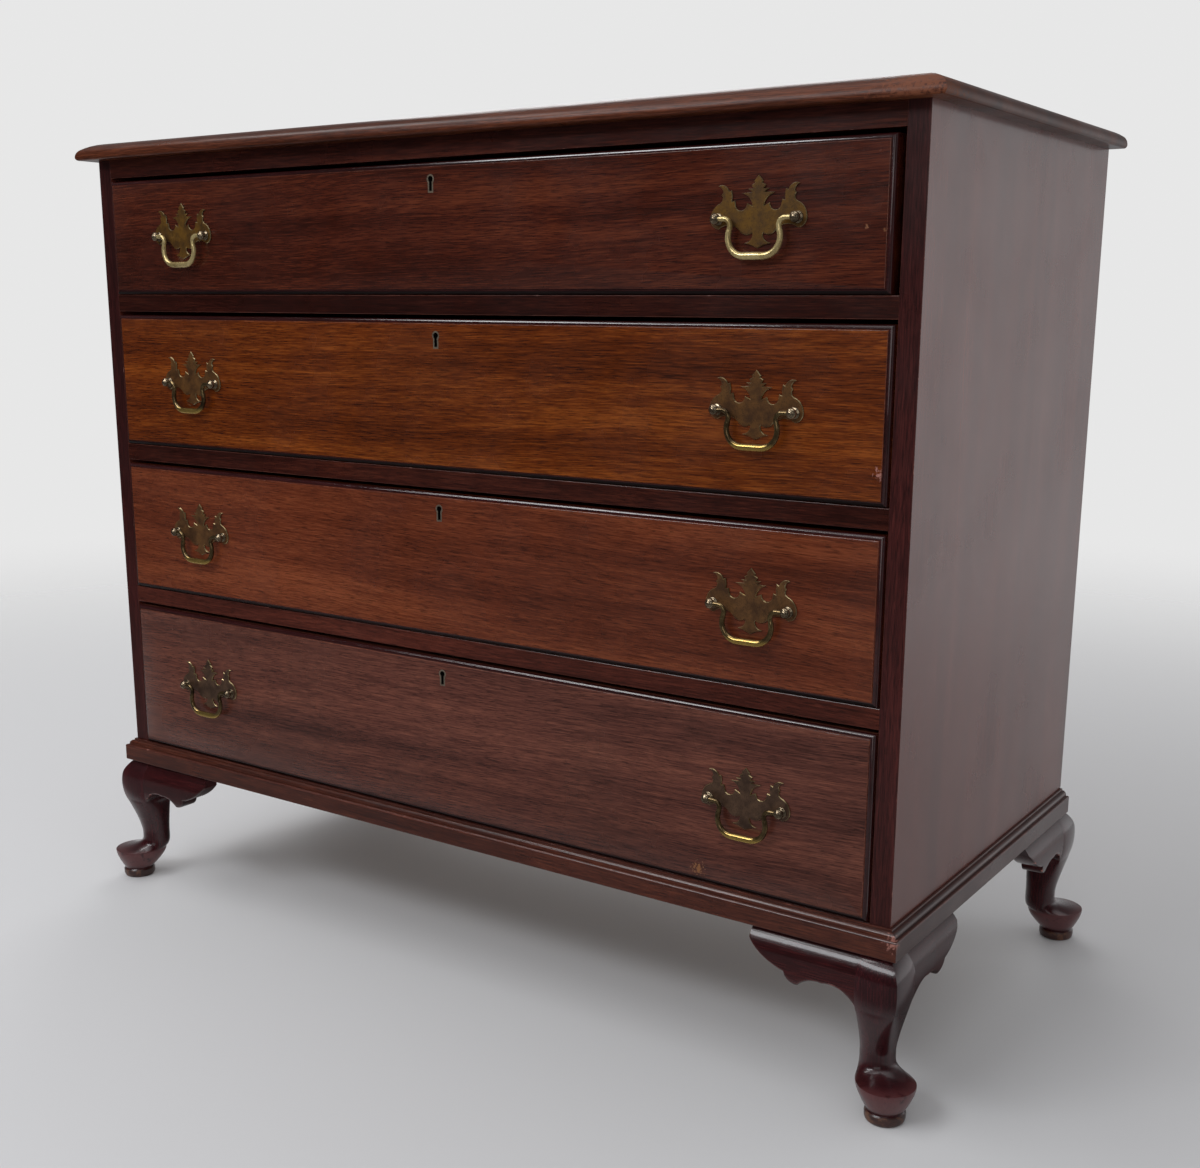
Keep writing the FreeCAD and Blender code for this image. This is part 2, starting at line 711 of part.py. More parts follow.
def rectangle(sketch, left, bottom, width, height):
    """A rectangle in a sketch, tied to four expressions; left and bottom may be None for the sketch's origin.

    It is drawn as a unit square, and the expressions give it its size and place.
    """
    drawn = [Vector(0, 0, 0), Vector(1, 0, 0), Vector(1, 1, 0), Vector(0, 1, 0)]
    for start, stop in zip(drawn, drawn[1:] + drawn[:1]):
        sketch.addGeometry(Part.LineSegment(start, stop), False)
    for first, second in ((0, 1), (1, 2), (2, 3), (3, 0)):
        sketch.addConstraint(Sketcher.Constraint("Coincident", first, 2, second, 1))
    for kind, edge in (("Horizontal", 0), ("Vertical", 1), ("Horizontal", 2), ("Vertical", 3)):
        sketch.addConstraint(Sketcher.Constraint(kind, edge))
    measures = [("DistanceX", 0, 1, 0, 2, width), ("DistanceY", 1, 1, 1, 2, height)]
    if left is None:
        sketch.addConstraint(Sketcher.Constraint("Coincident", 0, 1, -1, 1))
    else:
        measures += [("DistanceX", -1, 1, 0, 1, left), ("DistanceY", -1, 1, 0, 1, bottom)]
    for kind, geometry_a, end_a, geometry_b, end_b, text in measures:
        place = sketch.addConstraint(Sketcher.Constraint(kind, geometry_a, end_a, geometry_b, end_b, 1))
        sketch.setExpression(f"Constraints[{place}]", cells(text))


def front_sketch(body, name):
    sketch = body.newObject("Sketcher::SketchObject", name)
    upright = [plane for plane in body.Origin.OriginFeatures if plane.Role == "XZ_Plane"][0]
    sketch.AttachmentSupport = [(upright, "")]
    sketch.MapMode = "FlatFace"
    return sketch


def front_body(k):
    """A drawer front that stands proud of the case, with an ovolo and a small step round its face."""
    width = f"(2 * {front_half(k)})"
    height = f"(opening_{k} - front_gap_bottom - front_gap_top)"
    body = doc.addObject("PartDesign::Body", f"front_body_{k}")
    seat(body, f"{drawer_middle(k)} - {front_half(k)}", FRONT_BACK, f"{floor(k)} + front_gap_bottom")
    outer = front_sketch(body, f"front_outline_{k}")
    rectangle(outer, None, None, width, height)
    board = body.newObject("PartDesign::Pad", f"front_board_{k}")
    board.Profile = outer
    bind(board, Length="front_thickness - front_step")
    doc.recompute()
    foremost = board.Shape.BoundBox.YMin
    rim = [f"Edge{i}" for i, edge in enumerate(board.Shape.Edges, 1) if edge.BoundBox.YMax < foremost + 0.01]
    ovolo = body.newObject("PartDesign::Fillet", f"front_ovolo_{k}")
    ovolo.Base = (board, rim)
    bind(ovolo, Radius="front_ovolo")
    inner = front_sketch(body, f"face_outline_{k}")
    border = "front_moulding"
    rectangle(inner, border, border, f"{width} - 2 * {border}", f"{height} - 2 * {border}")
    panel = body.newObject("PartDesign::Pad", f"front_face_{k}")
    panel.Profile = inner
    bind(panel, Length="front_thickness")
    return body


TAILS = 3


def drawer_box(k):
    """Two dovetailed sides, the back between them and the bottom in its grooves."""
    middle, outside = drawer_middle(k), f"({front_half(k)} - drawer_side_set_in)"
    inside = f"({outside} - drawer_side_thickness)"
    low, high = f"({floor(k)} + runner_gap)", f"({ceiling(k)} - drawer_side_top_gap)"
    end = f"({FRONT} + drawer_length)"
    groove_low = f"({low} + drawer_bottom_lift)"
    groove_high = f"({groove_low} + drawer_bottom_thickness)"
    reach = f"({inside} + drawer_bottom_groove)"
    bottom = block(f"bottom_{k}", (f"{middle} - {reach}", f"{middle} + {reach}"),
                   (f"{FRONT_BACK} - drawer_bottom_groove", end), (groove_low, groove_high))
    back = block(f"back_{k}", (f"{middle} - {inside}", f"{middle} + {inside}"),
                 (f"{end} - drawer_back_thickness", end), (groove_high, f"{high} - drawer_back_drop"))
    boards = []
    for hand, side in SIDES.items():
        near, far = span(side, inside, outside)
        near, far = f"{middle} + ({near})", f"{middle} + ({far})"
        pieces = [block(f"side_board_{k}_{hand}", (near, far), (FRONT_BACK, end), (low, high))]
        for number in range(TAILS):
            centre = f"({low} + ({high} - {low}) * {2 * number + 1} / {2 * TAILS})"
            tail = doc.addObject("Part::Wedge", f"tail_{k}_{hand}_{number}")
            narrow = "(tail_width / 2 - tail_slope)"
            bind(tail, Xmin=near, Xmax=far, X2min=near, X2max=far,
                 Ymin=f"{FRONT_BACK} - tail_length", Ymax=FRONT_BACK,
                 Zmin=f"{centre} - tail_width / 2", Zmax=f"{centre} + tail_width / 2",
                 Z2min=f"{centre} - {narrow}", Z2max=f"{centre} + {narrow}")
            pieces.append(tail)
        boards.append(cut(f"side_{k}_{hand}", fuse(f"dovetailed_{k}_{hand}", pieces), [bottom]))
    return bottom, back, boards


def keyhole(name, k, wall, start):
    """A keyhole through the drawer front, its outline drawn in by a wall, from start to the face."""
    x, face_line = drawer_middle(k), f"({FRONT} - front_proud)"
    upper = f"({front_top(k)} - keyhole_drop + keyhole_length / 2)"
    slot = f"(keyhole_slot_width / 2 - {wall})"
    eye = rod(name + "_eye", f"keyhole_top_radius - {wall}", f"{start} - {face_line}", x, start, upper)
    return fuse(name, [eye, block(
        name + "_slot", (f"{x} - {slot}", f"{x} + {slot}"), (face_line, start),
        (f"{upper} - keyhole_length + {wall}", upper))])


def lock(k):
    """A half-mortise lock behind the front, open at the top for its bolt, and the keyhole's brass lining."""
    x, face_side = drawer_middle(k), f"({FRONT_BACK} - lock_depth)"
    case = block(f"lock_block_{k}", (f"{x} - lock_width / 2", f"{x} + lock_width / 2"),
                 (face_side, FRONT_BACK), (f"{front_top(k)} - lock_height", front_top(k)))
    bolt_low = f"({front_top(k)} - bolt_drop - bolt_height)"
    slot = around_bolt(f"bolt_slot_{k}", k, (f"{bolt_low} - bolt_clearance", front_top(k)))
    lining_block = keyhole(f"lining_block_{k}", k, "0", face_side)
    lining = cut(f"lining_{k}", lining_block, [keyhole(f"key_way_{k}", k, "keyhole_wall", face_side)])
    bolt = block(f"bolt_{k}", (f"{x} - bolt_width / 2", f"{x} + bolt_width / 2"),
                 (BOLT_FACE, f"{BOLT_FACE} + bolt_thickness"), (bolt_low, f"{bolt_low} + bolt_height"))
    return case, lining_block, [cut(f"lock_case_{k}", case, [slot]), lining], bolt


def on_front(name, shape, k, x):
    """A piece of a pull, seated on the face of drawer k at a place across it."""
    obj = solid_piece(name, shape)
    seat(obj, f"{drawer_middle(k)} + ({x})", f"{FRONT} - front_proud",
         f"{floor(k)} + front_gap_bottom + (opening_{k} - front_gap_bottom - front_gap_top) / 2")
    return obj


shank_hole = shank_shape(size("post_shank") + 2 * size("shank_clearance"))
for k in DRAWERS:
    bottom, back, boards = drawer_box(k)
    case, lining_block, lock_pieces, bolt = lock(k)
    plates, posts, holes = [], [], []
    for hand, side in SIDES.items():
        pull = f"{side} * ({INSIDE} - pull_inset)"
        plates.append(on_front(f"plate_{k}_{hand}", plate, k, pull))
        node(on_front(f"bail_{k}_{hand}", bail, k, pull), f"drawer_{k}_bail_{hand}")
        for end, step in SIDES.items():
            at = f"{pull} + {step} * post_spacing / 2"
            posts.append(on_front(f"post_{k}_{hand}_{end}", post, k, at))
            holes.append(on_front(f"shank_hole_{k}_{hand}_{end}", shank_hole, k, at))
    node(cut(f"front_{k}", front_body(k), boards + [bottom, case, lining_block] + holes), f"drawer_{k}_front")
    node(group(f"sides_{k}", boards), f"drawer_{k}_sides")
    node(back, f"drawer_{k}_back")
    node(bottom, f"drawer_{k}_bottom")
    node(group(f"plates_{k}", plates), f"drawer_{k}_pull_plates")
    node(group(f"posts_{k}", posts), f"drawer_{k}_pull_posts")
    node(group(f"lock_{k}", lock_pieces), f"drawer_{k}_lock")
    node(bolt, f"drawer_{k}_lock_bolt")


# Build, look for failures, and write one file for each sub-part

doc.recompute()
failed = [obj.Name for obj in doc.Objects if {"Invalid", "Error"} & set(obj.State)]
failed += [obj.Label for obj in nodes if obj.Shape.isNull() or not obj.Shape.isValid() or not obj.Shape.Solids]
if failed:
    raise RuntimeError("these objects failed: " + ", ".join(failed))
os.makedirs("parts", exist_ok=True)
for obj in nodes:
    obj.Shape.exportStep(f"parts/{obj.Label}.step")
    box = obj.Shape.BoundBox
    extent = f"{box.XLength:.1f} x {box.YLength:.1f} x {box.ZLength:.1f} mm"
    print(f"{obj.Label}: {len(obj.Shape.Solids)} solids, {extent}")
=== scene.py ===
import math

import bmesh
import bpy
from mathutils import Matrix, Vector


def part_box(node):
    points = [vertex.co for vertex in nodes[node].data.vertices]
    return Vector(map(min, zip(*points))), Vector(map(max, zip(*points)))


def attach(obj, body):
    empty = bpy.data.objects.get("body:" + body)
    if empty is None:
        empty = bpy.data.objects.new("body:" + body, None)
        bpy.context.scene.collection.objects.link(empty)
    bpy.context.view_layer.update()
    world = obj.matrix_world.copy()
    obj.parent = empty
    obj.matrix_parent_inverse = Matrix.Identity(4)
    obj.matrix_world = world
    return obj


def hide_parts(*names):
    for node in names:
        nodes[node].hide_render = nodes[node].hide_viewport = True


# Bachelor's chest in mahogany: four graduated drawers, batwing brasses and short cabriole legs.
# Metres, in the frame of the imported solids: +Z up, the drawers face -Y.

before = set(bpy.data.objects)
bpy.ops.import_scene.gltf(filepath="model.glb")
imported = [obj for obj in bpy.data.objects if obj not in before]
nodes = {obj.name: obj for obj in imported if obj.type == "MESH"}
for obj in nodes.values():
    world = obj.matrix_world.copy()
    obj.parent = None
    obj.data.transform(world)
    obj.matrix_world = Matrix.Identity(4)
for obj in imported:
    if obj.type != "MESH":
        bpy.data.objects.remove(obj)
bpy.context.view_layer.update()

MM = 0.001
DRAWERS = (1, 2, 3, 4)
HANDS = {"left": -1, "right": 1}
ACROSS, DEEP, UPRIGHT = 0, 1, 2


# Helpers for node trees

def tone(red, green, blue):
    """A colour written as the eye sees it, from 0 to 255, turned into light."""
    shares = [value / 255 for value in (red, green, blue)]
    return [s / 12.92 if s <= 0.04045 else ((s + 0.055) / 1.055) ** 2.4 for s in shares] + [1]


def put(tree, socket, value):
    """Give a socket a constant, or join another node's output to it."""
    if isinstance(value, bpy.types.NodeSocket):
        tree.links.new(value, socket)
    else:
        socket.default_value = value


def add(tree, kind, settings=None, sockets=None):
    """A node of one kind, with its settings, and its sockets by name or by place."""
    made = tree.nodes.new(kind)
    for name, value in (settings or {}).items():
        setattr(made, name, value)
    for name, value in (sockets or {}).items():
        put(tree, made.inputs[name], value)
    return made


def sums(tree, operation, *values):
    """A Math node's result."""
    made = add(tree, "ShaderNodeMath", {"operation": operation}, dict(enumerate(values)))
    return made.outputs[0]


def vectors(tree, operation, *values):
    """A Vector Math node."""
    return add(tree, "ShaderNodeVectorMath", {"operation": operation}, dict(enumerate(values)))


def mapped(tree, vector, scale, place=(0, 0, 0), turn=(0, 0, 0)):
    """Coordinates scaled, moved and turned."""
    made = add(tree, "ShaderNodeMapping", sockets={
        "Vector": vector, "Scale": scale, "Location": place, "Rotation": turn})
    return made.outputs[0]


def noise(tree, vector, detail, roughness=0.5, output="Fac"):
    """A soft random pattern, one repeat to a unit of its coordinates."""
    made = add(tree, "ShaderNodeTexNoise", sockets={
        "Vector": vector, "Scale": 1, "Detail": detail, "Roughness": roughness})
    return made.outputs[output]


def ramp(tree, share, *stops):
    """Colours or greys along a share from 0 to 1; each stop is a place and a colour."""
    made = add(tree, "ShaderNodeValToRGB", sockets={"Fac": share})
    points = made.color_ramp.elements
    while len(points) < len(stops):
        points.new(0.5)
    for point, (place, colour) in zip(points, stops):
        point.position = place
        point.color = colour if hasattr(colour, "__len__") else (colour, colour, colour, 1)
    return made.outputs["Color"]


def mixed(tree, share, first, second, how="MIX"):
    """Two colours mixed by a share."""
    settings = {"data_type": "RGBA", "blend_type": how}
    return add(tree, "ShaderNodeMix", settings, {0: share, 6: first, 7: second}).outputs[2]


def ranged(tree, value, low, high, new_low=0, new_high=1, smooth=False):
    """A value taken from one range to another, and held at its ends."""
    kind = "SMOOTHSTEP" if smooth else "LINEAR"
    made = add(tree, "ShaderNodeMapRange", {"interpolation_type": kind}, {
        "Value": value, "From Min": low, "From Max": high, "To Min": new_low, "To Max": new_high})
    return made.outputs[0]


def new_finish(name):
    """An empty material with its tree, its shader and the piece's own coordinates."""
    material = bpy.data.materials.new(name)
    material.use_nodes = True
    tree = material.node_tree
    place = add(tree, "ShaderNodeTexCoord").outputs["Object"]
    return material, tree, tree.nodes["Principled BSDF"], place


# Wood finishes

# Repeats per metre along and across the grain
DRIFT, RIBBON, STREAK, FIBRE, PORE = (2.2, 7), (1.6, 36), (24, 700), (60, 1700), (75, 1500)
# How much the ribbon, the streaks and the fibres each add to the figure
RIBBON_SHARE, STREAK_SHARE, FIBRE_SHARE = 0.38, 0.36, 0.26
# How far the drift pushes the figure sideways
DRIFT_PUSH = 0.02
# Repeats per metre of clouds in the colour and of smears in the polish
CLOUDS, SMEARS = 4, 9
# How much smoother and rougher than usual a smear can be
SMOOTHER, ROUGHER = 0.06, 0.08
DARK_PORE = tone(16, 6, 5)
# Depth of a pore and height of a streak as shares of the grain's relief, and that relief
PORE_DEPTH, STREAK_HEIGHT, GRAIN_RELIEF = -0.6, 0.35, 0.0004
# Chips per metre where the polish is rubbed along an edge and where it is knocked in one spot
WIDE_CHIPS, SPOT_CHIPS = 60, 320
# Softness of a chip's rim, and how much rarer chips are at the edge of a worn spot
CHIP_RIM, SPOT_FALL = 0.04, 0.5
# How much rougher bare wood is than polish, and how dark its streaks are
BARE_ROUGHNESS, BARE_STREAK = 0.18, 0.55


def stretched(along, rates):
    """A scale that draws a pattern out along one axis."""
    return [rates[0] if axis == along else rates[1] for axis in range(3)]


def rubbed_share(tree, place, share, band, spots):
    """Where the polish has rubbed off: chips over a share of a surface, in a band of heights or in spots."""
    rate = SPOT_CHIPS if spots else WIDE_CHIPS
    chips = noise(tree, mapped(tree, place, [rate] * 3), 5, 0.7)
    if spots:
        near = 0
        for centre, radius in spots:
            away = vectors(tree, "DISTANCE", place, centre).outputs["Value"]
            near = sums(tree, "MAXIMUM", near, ranged(tree, away, radius, 0))
        chips = sums(tree, "MULTIPLY_ADD", sums(tree, "SUBTRACT", near, 1), SPOT_FALL, chips)
    rubbed = ranged(tree, chips, 1 - CHIP_RIM - share, 1 + CHIP_RIM - share)
    if band:
        height = add(tree, "ShaderNodeSeparateXYZ", sockets={"Vector": place}).outputs["Z"]
        for low, high in band:
            rubbed = sums(tree, "MULTIPLY", rubbed, ranged(tree, height, low, high, smooth=True))
    return rubbed


def wood(name, dark, middle, light, along, shift=0.0, lean=0.0, roughness=0.3, coat=0.2, coat_roughness=0.12,
         specular=0.4, pores=0.55, relief=0.1, wear=None, wear_share=0.5, band=None, spots=()):
    """A polished wood: ribbon figure, fine streaks, open pores and a finish that has gone uneven."""
    material, tree, shader, place = new_finish(name)
    turn = [0, 0, 0]
    turn[UPRIGHT if along == DEEP else DEEP] = lean
    grain = mapped(tree, place, (1, 1, 1), (shift, shift * 1.7, shift * 0.6), turn)
    drift = noise(tree, mapped(tree, grain, stretched(along, DRIFT)), 2, output="Color")
    drift = vectors(tree, "SUBTRACT", drift, (0.5, 0.5, 0.5)).outputs[0]
    grain = vectors(tree, "MULTIPLY_ADD", drift, stretched(along, (0, DRIFT_PUSH)), grain).outputs[0]
    ribbon = noise(tree, mapped(tree, grain, stretched(along, RIBBON)), 3, 0.55)
    streak = noise(tree, mapped(tree, grain, stretched(along, STREAK)), 3, 0.6)
    fibre = noise(tree, mapped(tree, grain, stretched(along, FIBRE)), 2, 0.6)
    figure = sums(tree, "MULTIPLY", ribbon, RIBBON_SHARE)
    figure = sums(tree, "MULTIPLY_ADD", streak, STREAK_SHARE, figure)
    figure = sums(tree, "MULTIPLY_ADD", fibre, FIBRE_SHARE, figure)
    colour = ramp(tree, figure, (0.38, dark), (0.5, middle), (0.62, light))
    pore = noise(tree, mapped(tree, grain, stretched(along, PORE)), 2, 0.6)
    pore = ranged(tree, pore, 0.55, 0.64)
    colour = mixed(tree, sums(tree, "MULTIPLY", pore, pores), colour, DARK_PORE)
    cloud = noise(tree, mapped(tree, grain, [CLOUDS] * 3), 3, 0.6)
    colour = mixed(tree, 1, colour, ramp(tree, cloud, (0.3, 0.8), (0.7, 1)), "MULTIPLY")
    smear = noise(tree, mapped(tree, grain, [SMEARS] * 3), 4, 0.6)
    gloss = ranged(tree, smear, 0.3, 0.7, roughness - SMOOTHER, roughness + ROUGHER)
    if wear:
        rubbed = rubbed_share(tree, place, wear_share, band, spots)
        bare = mixed(tree, streak, wear, [channel * BARE_STREAK for channel in wear[:3]] + [1])
        colour = mixed(tree, rubbed, colour, bare)
        gloss = sums(tree, "MULTIPLY_ADD", rubbed, BARE_ROUGHNESS, gloss)
    put(tree, shader.inputs["Base Color"], colour)
    put(tree, shader.inputs["Roughness"], gloss)
    shader.inputs["Specular IOR Level"].default_value = specular
    shader.inputs["Coat Weight"].default_value = coat
    shader.inputs["Coat Roughness"].default_value = coat_roughness
    height = sums(tree, "MULTIPLY", streak, STREAK_HEIGHT)
    height = sums(tree, "MULTIPLY_ADD", pore, PORE_DEPTH, height)
    bump = add(tree, "ShaderNodeBump", sockets={
        "Strength": relief, "Distance": GRAIN_RELIEF, "Height": height})
    put(tree, shader.inputs["Normal"], bump.outputs[0])
    return material


top_low, top_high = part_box("top_panel")
front_1_low, front_1_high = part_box("drawer_1_front")
front_2_low, front_2_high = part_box("drawer_2_front")
front_4_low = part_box("drawer_4_front")[0]
base_low, base_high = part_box("base_moulding_front")
# Worn places: the middle of each and how far it reaches
WORN_CORNER = ((top_high.x - 0.02, top_low.y + 0.01, top_high.z - 0.005), 0.13)
SMALL_CHIPS = [
    ((front_1_high.x - 0.0219, front_1_low.y, front_1_high.z - 0.071), 0.009),
    ((front_1_high.x - 0.0068, front_1_low.y, front_1_high.z - 0.074), 0.006)]
CHIPPED_CORNER = ((base_high.x - 0.004, base_low.y + 0.002, base_high.z - 0.009), 0.022)
CHIPPED_END = ((front_2_high.x - 0.006, front_2_low.y, front_2_low.z + 0.028), 0.014)
SCUFFED_PLACE = ((front_4_low.x + 0.799, front_4_low.y, front_4_low.z + 0.013), 0.018)
BARE = tone(138, 80, 54)
PINK_CHIP = tone(168, 112, 100)

FRONT_GLOSS = {"roughness": 0.24, "coat": 0.15}
front_finishes = {
    1: wood("front_1_mahogany", tone(38, 11, 5), tone(65, 24, 13), tone(96, 44, 24), ACROSS, 0.31, 0.02,
            wear=tone(126, 76, 40), wear_share=0.56, spots=SMALL_CHIPS, **FRONT_GLOSS),
    2: wood("front_2_mahogany", tone(56, 19, 3), tone(95, 40, 8), tone(134, 68, 19), ACROSS, 1.74, 0.015,
            wear=PINK_CHIP, wear_share=0.62, spots=[CHIPPED_END], **FRONT_GLOSS),
    3: wood("front_3_mahogany", tone(70, 28, 14), tone(98, 44, 24), tone(126, 64, 36), ACROSS, 2.93, -0.02,
            **FRONT_GLOSS),
    4: wood("front_4_mahogany", tone(56, 26, 20), tone(89, 48, 38), tone(118, 69, 53), ACROSS, 4.37, 0.03,
            wear=tone(150, 98, 56), wear_share=0.6, spots=[SCUFFED_PLACE], **FRONT_GLOSS),
}
# Eased arrises of the drawer fronts: bare chips of real wear, and a paler colour than the faces that is
# painted highlight.
arris_wear_and_highlight = wood("front_rubbed_edge", tone(66, 32, 24), tone(98, 54, 42), tone(140, 88, 72), ACROSS, 0.5,
                  roughness=0.22, coat=0.4, pores=0.1, wear=BARE, wear_share=0.42)
moulding_finish = wood("front_moulding_mahogany", tone(32, 10, 10), tone(47, 17, 18), tone(64, 26, 25),
                       ACROSS, 5.2, roughness=0.14, coat=1.0, coat_roughness=0.05, specular=0.6, pores=0.2)
# Near-black finish for the downward faces of the drawer fronts' borders and eased strips: painted shade.
underside_shade_moulding = wood("front_grimed_moulding", tone(12, 5, 5), tone(19, 8, 8), tone(28, 12, 11), ACROSS, 5.6,
                       roughness=0.45, coat=0.05, specular=0.2, pores=0.2)
# Tones for the rails, darkest under the top drawer and lighter further down: painted shade from the drawers
# above; the top rail takes the second.
RAIL_SHADE_TONES = {
    1: (tone(26, 7, 4), tone(44, 14, 9), tone(66, 28, 17)),
    2: (tone(30, 8, 5), tone(51, 18, 12), tone(76, 33, 21)),
    3: (tone(46, 16, 10), tone(74, 31, 22), tone(100, 47, 34)),
}
rail_shade_finishes = {
    k: wood(f"rail_{k}_mahogany", *tones, ACROSS, 6.1, specular=0.22, coat=0.06)
    for k, tones in RAIL_SHADE_TONES.items()}
stile_finish = wood("stile_mahogany", tone(34, 10, 10), tone(55, 20, 19), tone(76, 31, 28), UPRIGHT, 7.4,
                    specular=0.3, coat=0.1)
side_finish = wood("side_mahogany", tone(80, 35, 28), tone(96, 46, 37), tone(112, 58, 47), UPRIGHT, 8.2,
                   pores=0.12, relief=0.02, roughness=0.24, coat=0.2)
top_finish = wood("top_mahogany", tone(44, 18, 9), tone(74, 35, 20), tone(106, 56, 34), ACROSS, 9.6,
                  roughness=0.32, coat=0.03, specular=0.2, wear=tone(120, 68, 44), wear_share=0.6,
                  spots=[WORN_CORNER])
BASE_CHIPS = {"wear": PINK_CHIP, "wear_share": 0.6, "spots": [CHIPPED_CORNER]}
base_finish = wood("base_mahogany", tone(46, 18, 12), tone(72, 32, 21), tone(98, 49, 32), ACROSS, 11.3,
                   coat=0.35, **BASE_CHIPS)
base_side_finish = wood("base_side_mahogany", tone(42, 18, 15), tone(62, 29, 23), tone(84, 43, 34),
                        DEEP, 12.9, **BASE_CHIPS)
case_edge = wood("case_rubbed_edge", tone(52, 22, 18), tone(76, 36, 28), tone(104, 56, 44), ACROSS, 3.7,
                 wear=PINK_CHIP, wear_share=0.34)
LEG_GLOSS = {"roughness": 0.24, "coat": 0.5, "coat_roughness": 0.07, "specular": 0.28, "pores": 0.2}
# Where the feet are rubbed: the wear fades in over the first two heights and out over the last two
FOOT_RUB = (0.011, 0.018), (0.038, 0.034)
leg_finish = wood("leg_mahogany", tone(32, 9, 12), tone(52, 16, 20), tone(72, 26, 29), UPRIGHT, 14.5,
                  wear=tone(96, 50, 51), wear_share=0.6, band=FOOT_RUB, **LEG_GLOSS)
pad_finish = wood("pad_rubbed_mahogany", tone(32, 12, 10), tone(50, 22, 17), tone(76, 40, 30), ACROSS, 14.9,
                  roughness=0.34, coat=0.2, wear=tone(106, 68, 48), wear_share=0.45)
BRACKET_TONES = tone(32, 9, 11), tone(52, 16, 18), tone(72, 26, 26)
bracket_finish = wood("bracket_mahogany", *BRACKET_TONES, ACROSS, 15.8, **LEG_GLOSS)
END_GLOSS = {**LEG_GLOSS, "coat": 0.12}
bracket_end_finish = wood("bracket_side_mahogany", *BRACKET_TONES, DEEP, 15.3, **END_GLOSS)
bracket_edge = wood("bracket_rubbed_edge", tone(40, 13, 12), tone(58, 22, 20), tone(80, 34, 30), ACROSS, 16.2,
                    wear=PINK_CHIP, wear_share=0.4, **LEG_GLOSS)
BARE_WOOD = {"roughness": 0.62, "coat": 0.0, "specular": 0.3, "pores": 0.25}
side_lining = wood("drawer_side_wood", tone(116, 84, 50), tone(146, 110, 70), tone(172, 136, 92),
                   DEEP, 17.4, **BARE_WOOD)
cross_lining = wood("drawer_bottom_wood", tone(124, 92, 58), tone(152, 118, 78), tone(176, 142, 98),
                    ACROSS, 18.6, **BARE_WOOD)
frame_finish = wood("web_frame_wood", tone(98, 68, 40), tone(124, 90, 56), tone(148, 112, 74),
                    ACROSS, 19.5, **BARE_WOOD)
back_finish = wood("back_board_wood", tone(74, 46, 28), tone(98, 64, 40), tone(122, 84, 56),
                   UPRIGHT, 20.7, **BARE_WOOD)


# Metal finishes

GRIP_BRASS, BRASS_STAIN = tone(190, 158, 86), tone(34, 22, 12)
# Repeats per metre of brown patches and of pits, and how deep and how clear the pits are
PATCHES, PITS, PIT_RELIEF, PIT_STRENGTH = 70, 900, 0.0002, 0.2
# How much duller a brown patch is and how much brighter a clean one
DULLER, BRIGHTER = 0.1, 0.06


def brass(name, deep, bright, roughness, metal=1.0, spots=0.5, grip=None):
    """Old brass that has gone brown in patches and stays bright between the heights where hands rub it."""
    material, tree, shader, place = new_finish(name)
    patches = noise(tree, mapped(tree, place, [PATCHES] * 3), 5, 0.65)
    pits = noise(tree, mapped(tree, place, [PITS] * 3), 3, 0.6)
    colour = ramp(tree, patches, (0.36, deep), (0.62, bright))
    stain = ranged(tree, pits, 0.52, 0.66)
    colour = mixed(tree, sums(tree, "MULTIPLY", stain, spots), colour, BRASS_STAIN)
    if grip:
        height = add(tree, "ShaderNodeSeparateXYZ", sockets={"Vector": place}).outputs["Z"]
        colour = mixed(tree, ranged(tree, height, *grip, smooth=True), colour, GRIP_BRASS)
    put(tree, shader.inputs["Base Color"], colour)
    gloss = ranged(tree, patches, 0.3, 0.7, roughness + DULLER, roughness - BRIGHTER)
    put(tree, shader.inputs["Roughness"], gloss)
    shader.inputs["Metallic"].default_value = metal
    bump = add(tree, "ShaderNodeBump", sockets={
        "Strength": PIT_STRENGTH, "Distance": PIT_RELIEF, "Height": pits})
    put(tree, shader.inputs["Normal"], bump.outputs[0])
    return material


PLATE_TONES = {
    1: (tone(76, 50, 16), tone(114, 80, 28)),
    2: (tone(74, 46, 22), tone(112, 76, 40)),
    3: (tone(76, 49, 27), tone(114, 79, 46)),
    4: (tone(64, 45, 34), tone(96, 72, 55)),
}
plate_finishes = {k: brass(f"plate_{k}_brass", *PLATE_TONES[k], 0.36, 0.45) for k in DRAWERS}
# Paler brass on the plates' rounded edges: painted highlight.
plate_rim_highlight_finish = brass("plate_edge_brass", tone(112, 94, 64), tone(176, 156, 116), 0.26, 0.8, 0.2)
post_finish = brass("post_brass", tone(92, 78, 62), tone(166, 148, 122), 0.18, 0.9, 0.3)
lock_finish = brass("lock_brass", tone(104, 92, 78), tone(140, 128, 112), 0.4, 0.7)
# Near-black brass for the inside of the keyholes: painted shade.
keyhole_shade_finish = brass("keyhole_dark_brass", tone(14, 11, 9), tone(26, 21, 17), 0.6, 0.5)
iron_finish = brass("fastener_iron", tone(70, 66, 62), tone(104, 98, 92), 0.5, 0.9)


# Mesh helpers

# Widths of eased arrises in millimetres, and the angle in degrees from which an edge counts as one
ARRIS, FRONT_ARRIS, SOFT_ARRIS = 0.35, 0.45, 0.6
SHARP_ARRIS = 40
# Eased strips meet flat faces at more than this angle, curved mouldings turn by less
FLAT_EDGE = 20


def shade(mesh, sharp):
    """Smooth faces, with the edges over an angle in degrees left sharp."""
    mesh.polygons.foreach_set("use_smooth", [True] * len(mesh.polygons))
    mesh.set_sharp_from_angle(angle=math.radians(sharp))


def mesh_piece(name, build, finishes, sharp=38):
    """A new piece from a bmesh that holds its whole shape in place."""
    mesh = bpy.data.meshes.new(name)
    build.to_mesh(mesh)
    build.free()
    for finish in finishes:
        mesh.materials.append(finish)
    shade(mesh, sharp)
    piece = bpy.data.objects.new(name, mesh)
    bpy.context.scene.collection.objects.link(piece)
    return piece


